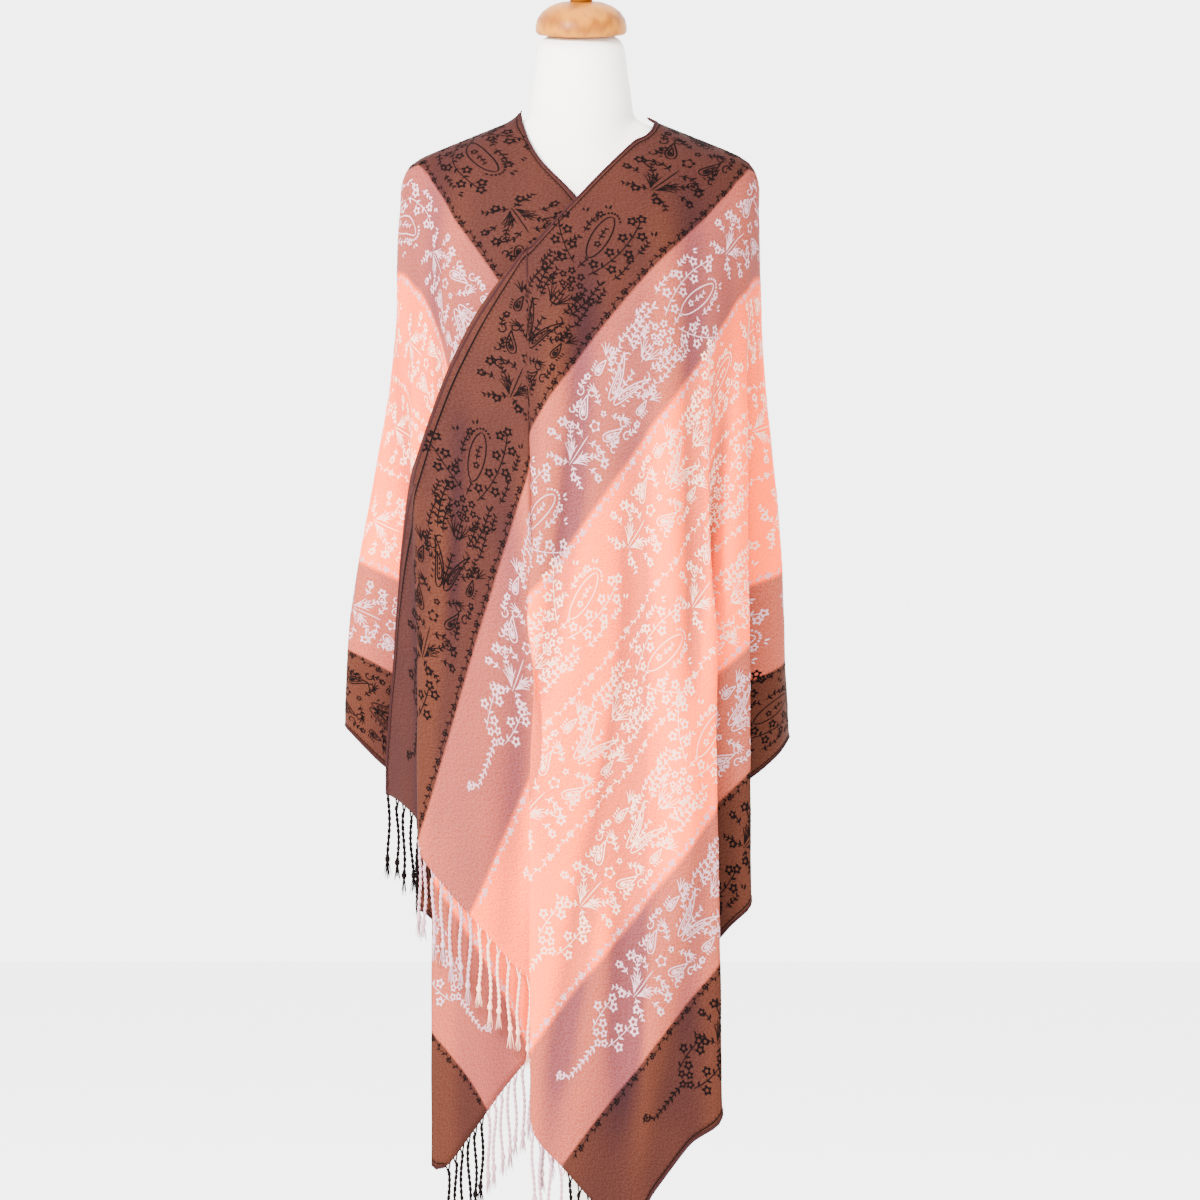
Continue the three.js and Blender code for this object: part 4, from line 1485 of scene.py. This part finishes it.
def add_tube(mesh: tuple[list, list], rings: list[np.ndarray]) -> None:
    """Adds a tube with closed ends.

    Args:
        mesh: the vertices and faces to add to.
        rings: the places of each ring, in millimetres.
    """
    vertices, faces = mesh
    start, sides = len(vertices), len(rings[0])
    for ring in rings:
        vertices.extend((ring * MM).tolist())
    for k in range(len(rings) - 1):
        for m in range(sides):
            a, b = start + k * sides + m, start + k * sides + (m + 1) % sides
            faces.append([b, a, a + sides, b + sides])
    last = start + (len(rings) - 1) * sides
    faces.append([start + m for m in range(sides)])
    faces.append([last + m for m in range(sides - 1, -1, -1)])


@dataclass
class RolledHems:
    """The narrow rolls along both long edges.

    Args:
        material: the ground material.
        inset: distance of a roll's middle from the edge, in millimetres.
        radius: radius of a roll.
        spacing: distance between its rings.
        sides: number of its sides.
    """

    material: bpy.types.Material
    inset: float = 1.2
    radius: float = 1.7
    spacing: float = 6.0
    sides: int = 6

    def build(self) -> bpy.types.Object:
        """Builds both rolls as one piece.

        Returns:
            The piece.
        """
        mesh = ([], [])
        for t in (self.inset, WIDTH - self.inset):
            along = np.arange(-HALF_LENGTH + 1, HALF_LENGTH, self.spacing)
            flat = np.stack([along, np.full_like(along, t)], -1)
            centre = on_cloth(flat, 0.0)
            way = np.gradient(centre, axis=0)
            way /= np.linalg.norm(way, axis=1, keepdims=True)
            up = on_cloth(flat, 1.0) - centre
            up /= np.linalg.norm(up, axis=1, keepdims=True)
            side = np.cross(way, up)
            angles = np.arange(self.sides, 0, -1)[:, None] / self.sides * 2 * math.pi
            add_tube(mesh, [centre[k] + self.radius * (np.cos(angles) * side[k] + np.sin(angles) * up[k])
                            for k in range(len(along))])
        made = make_object("rolled_hems", *mesh, self.material)
        return made


@dataclass
class Tassel:
    """One knotted cord of the fringe, with its sizes in millimetres.

    Args:
        root: where it leaves the cloth.
        way: unit vector along the cloth's edge.
        number: its number, which varies its length and sway.
        length: its usual length.
        join: how far down its two root threads meet.
        spread: distance of each root thread from the middle.
        knot: share of the length at which its knot sits.
        ply: radius of each of its two plies.
        fibres: number of fibres in its tail.
    """

    root: np.ndarray
    way: np.ndarray
    number: int
    length: float = 92.0
    join: float = 11.0
    spread: float = 4.5
    knot: float = 0.78
    ply: float = 1.15
    fibres: int = 9

    @staticmethod
    def tube(mesh: tuple[list, list], path: np.ndarray, radii: list, sides: int) -> None:
        """Adds an upright tube.

        Args:
            mesh: the vertices and faces to add to.
            path: the middles of its rings.
            radii: their radii.
            sides: number of its sides.
        """
        angles = np.arange(sides) / sides * 2 * math.pi
        ring = np.stack([np.cos(angles), np.sin(angles), 0 * angles], -1)
        add_tube(mesh, [centre + radius * ring for centre, radius in zip(path, radii)])

    def build(self, mesh: tuple[list, list]) -> None:
        """Adds the root threads, the two twisted plies, the knot and the loose tail.

        Args:
            mesh: the vertices and faces to add to.
        """
        k = self.number
        length = self.length + 5 * math.sin(k * 3.1)
        sway = np.array([1.6 * math.sin(k * 2.4), -1.2 * (1 + math.cos(k * 1.7)), 0.0])
        down = np.array([0, 0, -1.0])
        drops = np.linspace(0, 1, 4)[:, None]
        for hand in (-1, 1):
            foot = self.root + self.way * hand * self.spread - 1.5 * down
            neck = self.root + self.join * down
            self.tube(mesh, foot + (neck - foot) * drops, [0.7, 0.8, 0.9, 1.0], 4)
        shares = np.linspace(0.1, self.knot, 26)
        wave = 1.3 * np.sin(shares * 7 + k)
        for turn in (0, math.pi):
            angle = shares * 46 + turn
            path = self.root + shares[:, None] * length * down + sway * shares[:, None] ** 2
            path += np.stack([0.95 * np.cos(angle) + wave, 0.95 * np.sin(angle), 0 * angle], -1)
            self.tube(mesh, path, [self.ply] * len(path), 5)
        end = self.root + self.knot * length * down + sway * 0.61
        end[0] += wave[-1]
        knot = end + np.array([[-2.5], [-0.6], [2.0], [4.5]]) * down
        self.tube(mesh, knot, [1.4, 2.9, 2.8, 1.5], 7)
        for fibre in range(self.fibres):
            angle = fibre * 2.4 + k
            aside = np.array([math.cos(angle), math.sin(angle), 0.0]) * (0.6 + 0.25 * (fibre % 4))
            tail = length * 0.2 * (0.85 + 0.15 * math.sin(fibre * 1.7 + k))
            path = end + (3.5 + drops * tail) * down + aside * (0.8 + 2.2 * drops)
            self.tube(mesh, path, [0.62, 0.6, 0.5, 0.25], 3)


@dataclass
class Fringe:
    """The knotted cords of both ends.

    Args:
        materials: the material of each yarn.
        per_end: number of cords in an end of the whole cut.
        clearance: least distance between two cords, in millimetres.
        runs: first and last place from the hem, yarn and name of each run of one colour.
    """

    materials: dict
    per_end: int = 44
    clearance: float = 5.0
    runs: tuple = ((0, 100, Yarn.BLACK, "low_brown"), (100, 200, Yarn.GREY, "low_mauve"),
                   (200, 500, Yarn.CREAM, "peach"), (500, 600, Yarn.GREY, "high_mauve"),
                   (600, 700, Yarn.BLACK, "high_brown"))

    def build(self) -> list[bpy.types.Object]:
        """Builds one mesh of cords for each yarn.

        Returns:
            The pieces.
        """
        meshes = {yarn: ([], []) for yarn in (Yarn.BLACK, Yarn.GREY, Yarn.CREAM)}
        pitch = WIDTH / self.per_end
        for half in (OVER, UNDER):
            last = None
            for k in range(self.per_end):
                run = (k + 0.5) * pitch
                t = WIDTH - run
                side = half.side * (HALF_LENGTH - 2)
                near = on_cloth(np.array([(side, t - 4), (side, t), (side, t + 4)]), 0.0)
                if last is not None and np.hypot(*(near[1] - last)[:2]) < self.clearance:
                    continue
                last = near[1]
                way = near[2] - near[0]
                way /= np.linalg.norm(way)
                yarn = next(y for low, high, y, _ in self.runs if low <= run < high)
                Tassel(near[1], way, k).build(meshes[yarn])
        pieces = []
        for yarn, (vertices, faces) in meshes.items():
            made = make_object(f"fringe_{yarn.name.lower()}", vertices, faces, self.materials[yarn])
            nodes = [f"{end}_fringe_{name}" for end in ("over", "under")
                     for _, _, own, name in self.runs if own is yarn]
            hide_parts(*nodes)
            pieces.append(made)
        return pieces


@dataclass
class DressForm:
    """The torso and stand: copies of their solids, the torso made finer, all smoothed and finished.

    Args:
        materials: the material of each finish.
        smooth_below: angle below which an edge is smooth, in degrees.
        nodes: each solid and its finish.
    """

    materials: dict
    smooth_below: float = 40.0
    nodes: tuple = (("form_torso", Yarn.LINEN), ("form_neck_cap", Yarn.WOOD),
                    ("form_finial", Yarn.WOOD), ("stand_pole", Yarn.PAINT),
                    ("stand_base", Yarn.PAINT))

    def build(self) -> None:
        """Copies each piece, rounds it and gives it its material."""
        for name, finish in self.nodes:
            piece = self.copy_of(name)
            bpy.ops.object.mode_set(mode="EDIT")
            bpy.ops.mesh.select_all(action="SELECT")
            bpy.ops.mesh.remove_doubles(threshold=1e-5)
            bpy.ops.mesh.tris_convert_to_quads(face_threshold=0.9, shape_threshold=0.9)
            bpy.ops.object.mode_set(mode="OBJECT")
            if finish is Yarn.LINEN:
                bpy.ops.object.modifier_add(type="SUBSURF")
                piece.modifiers[-1].levels = 2
                bpy.ops.object.modifier_apply(modifier=piece.modifiers[-1].name)
            bpy.ops.object.shade_smooth_by_angle(angle=math.radians(self.smooth_below))
            piece.data.materials.clear()
            piece.data.materials.append(self.materials[finish])
            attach(piece, "root")
            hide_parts(name)
            piece.select_set(False)

    @staticmethod
    def copy_of(name: str) -> bpy.types.Object:
        """Copies a node, and leaves the copy selected and active.

        Args:
            name: the node's name.

        Returns:
            The copy.
        """
        bpy.ops.object.select_all(action="DESELECT")
        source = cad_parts[name]
        source.select_set(True)
        bpy.context.view_layer.objects.active = source
        bpy.ops.object.duplicate()
        piece = bpy.context.object
        piece.name = f"{name}_finished"
        return piece


@dataclass
class Studio:
    """Floor, soft light and the camera, with sizes in metres.

    Args:
        target: height that the camera looks at.
        distance: how far the camera stands off.
        rise: how far the camera stands above the target.
        view: half-width of the view at the shawl.
        aside: place of the camera to the side.
        floor: width of the floor.
        glow: light that the floor gives off, so that it meets the room without an edge.
        room: light of the room in front and behind.
        lamps: name, place, size and power of each lamp.
    """

    target: float = 0.892
    distance: float = 7.5
    rise: float = 0.16
    view: float = 0.63
    aside: float = 0.02
    floor: float = 14.0
    glow: float = 1.85
    room: tuple = (1.35, 5.0)
    lamps: tuple = (("key", (-1.8, -2.7, 2.6), 1.1, 640.0), ("fill", (2.6, -2.4, 1.5), 1.8, 75.0),
                    ("top", (0.3, -0.6, 3.4), 1.6, 60.0))

    def build(self) -> None:
        """Builds the floor, lights and camera."""
        self.add_floor()
        self.add_room()
        self.add_lamps()
        self.add_camera()

    def add_floor(self) -> None:
        """Adds a plain pale floor."""
        bpy.ops.object.select_all(action="DESELECT")
        bpy.ops.mesh.primitive_plane_add(size=self.floor, location=(0, 0, 0))
        floor = bpy.context.object
        floor.name = "floor"
        tree = NodeTree("floor")
        tree.dress((0.9, 0.9, 0.9), 0.9, USUAL_SPECULAR)
        tree.join(tree.shader.inputs["Emission Color"], (1.0, 1.0, 1.0))
        tree.join(tree.shader.inputs["Emission Strength"], self.glow)
        floor.data.materials.append(tree.material)

    def add_room(self) -> None:
        """Adds a pale room that is brighter behind the shawl."""
        world = bpy.data.worlds.new("studio")
        world.use_nodes = True
        nodes, links = world.node_tree.nodes, world.node_tree.links
        coords = nodes.new("ShaderNodeTexCoord")
        parts = nodes.new("ShaderNodeSeparateXYZ")
        ramp = nodes.new("ShaderNodeMapRange")
        links.new(coords.outputs["Generated"], parts.inputs[0])
        links.new(parts.outputs[1], ramp.inputs["Value"])
        links.new(ramp.outputs[0], nodes["Background"].inputs[1])
        limits = (-0.1, 0.6, *self.room)
        for name, value in zip(("From Min", "From Max", "To Min", "To Max"), limits):
            ramp.inputs[name].default_value = value
        nodes["Background"].inputs[0].default_value = (1, 1, 1, 1)
        bpy.context.scene.world = world

    def add_lamps(self) -> None:
        """Adds soft lamps at both sides and above."""
        for name, place, size, power in self.lamps:
            lamp = bpy.data.lights.new(name, "AREA")
            lamp.size = size
            lamp.energy = power
            self.aimed(name, lamp, Vector(place), Vector((0, 0, 0.95)))

    def add_camera(self) -> None:
        """Adds a straight front camera that frames the shawl as the photo does."""
        lens = bpy.data.cameras.new("camera")
        lens.sensor_width = 36.0
        lens.lens = lens.sensor_width / 2 * self.distance / self.view
        front = -0.1
        place = Vector((self.aside, front - self.distance, self.target + self.rise))
        at = Vector((self.aside, front, self.target))
        bpy.context.scene.camera = self.aimed("camera", lens, place, at)

    @staticmethod
    def aimed(name: str, data: bpy.types.ID, place: Vector, at: Vector) -> bpy.types.Object:
        """Sets up a lamp or camera.

        Args:
            name: its name.
            data: the lamp or camera.
            place: where it stands.
            at: what it looks at.

        Returns:
            Its object.
        """
        holder = bpy.data.objects.new(name, data)
        holder.location = place
        holder.rotation_euler = (at - place).to_track_quat("-Z", "Y").to_euler()
        bpy.context.scene.collection.objects.link(holder)
        return holder


def main() -> None:
    """Builds the pieces in order and reports each."""
    logging.basicConfig(level=logging.INFO, format="%(name)s %(message)s")
    materials = {yarn: finish.build(yarn.value) for yarn, finish in FINISHES.items()}
    for half in (OVER, UNDER):
        half.build()
    shawl = Shawl(materials[Yarn.GROUND]).build()
    LOG.info("shawl: %d faces", len(shawl.data.polygons))
    trimmings = [RolledHems(materials[Yarn.GROUND]).build()]
    trimmings += Figure(materials).build()
    trimmings += Fringe(materials).build()
    for piece in trimmings:
        LOG.info("%s: %d faces", piece.name, len(piece.data.polygons))
    form = DressForm(materials)
    form.build()
    LOG.info("dress form: %d pieces", len(form.nodes))
    Studio().build()
    LOG.info("studio: floor, lights and camera")


if __name__ == "__main__":
    main()
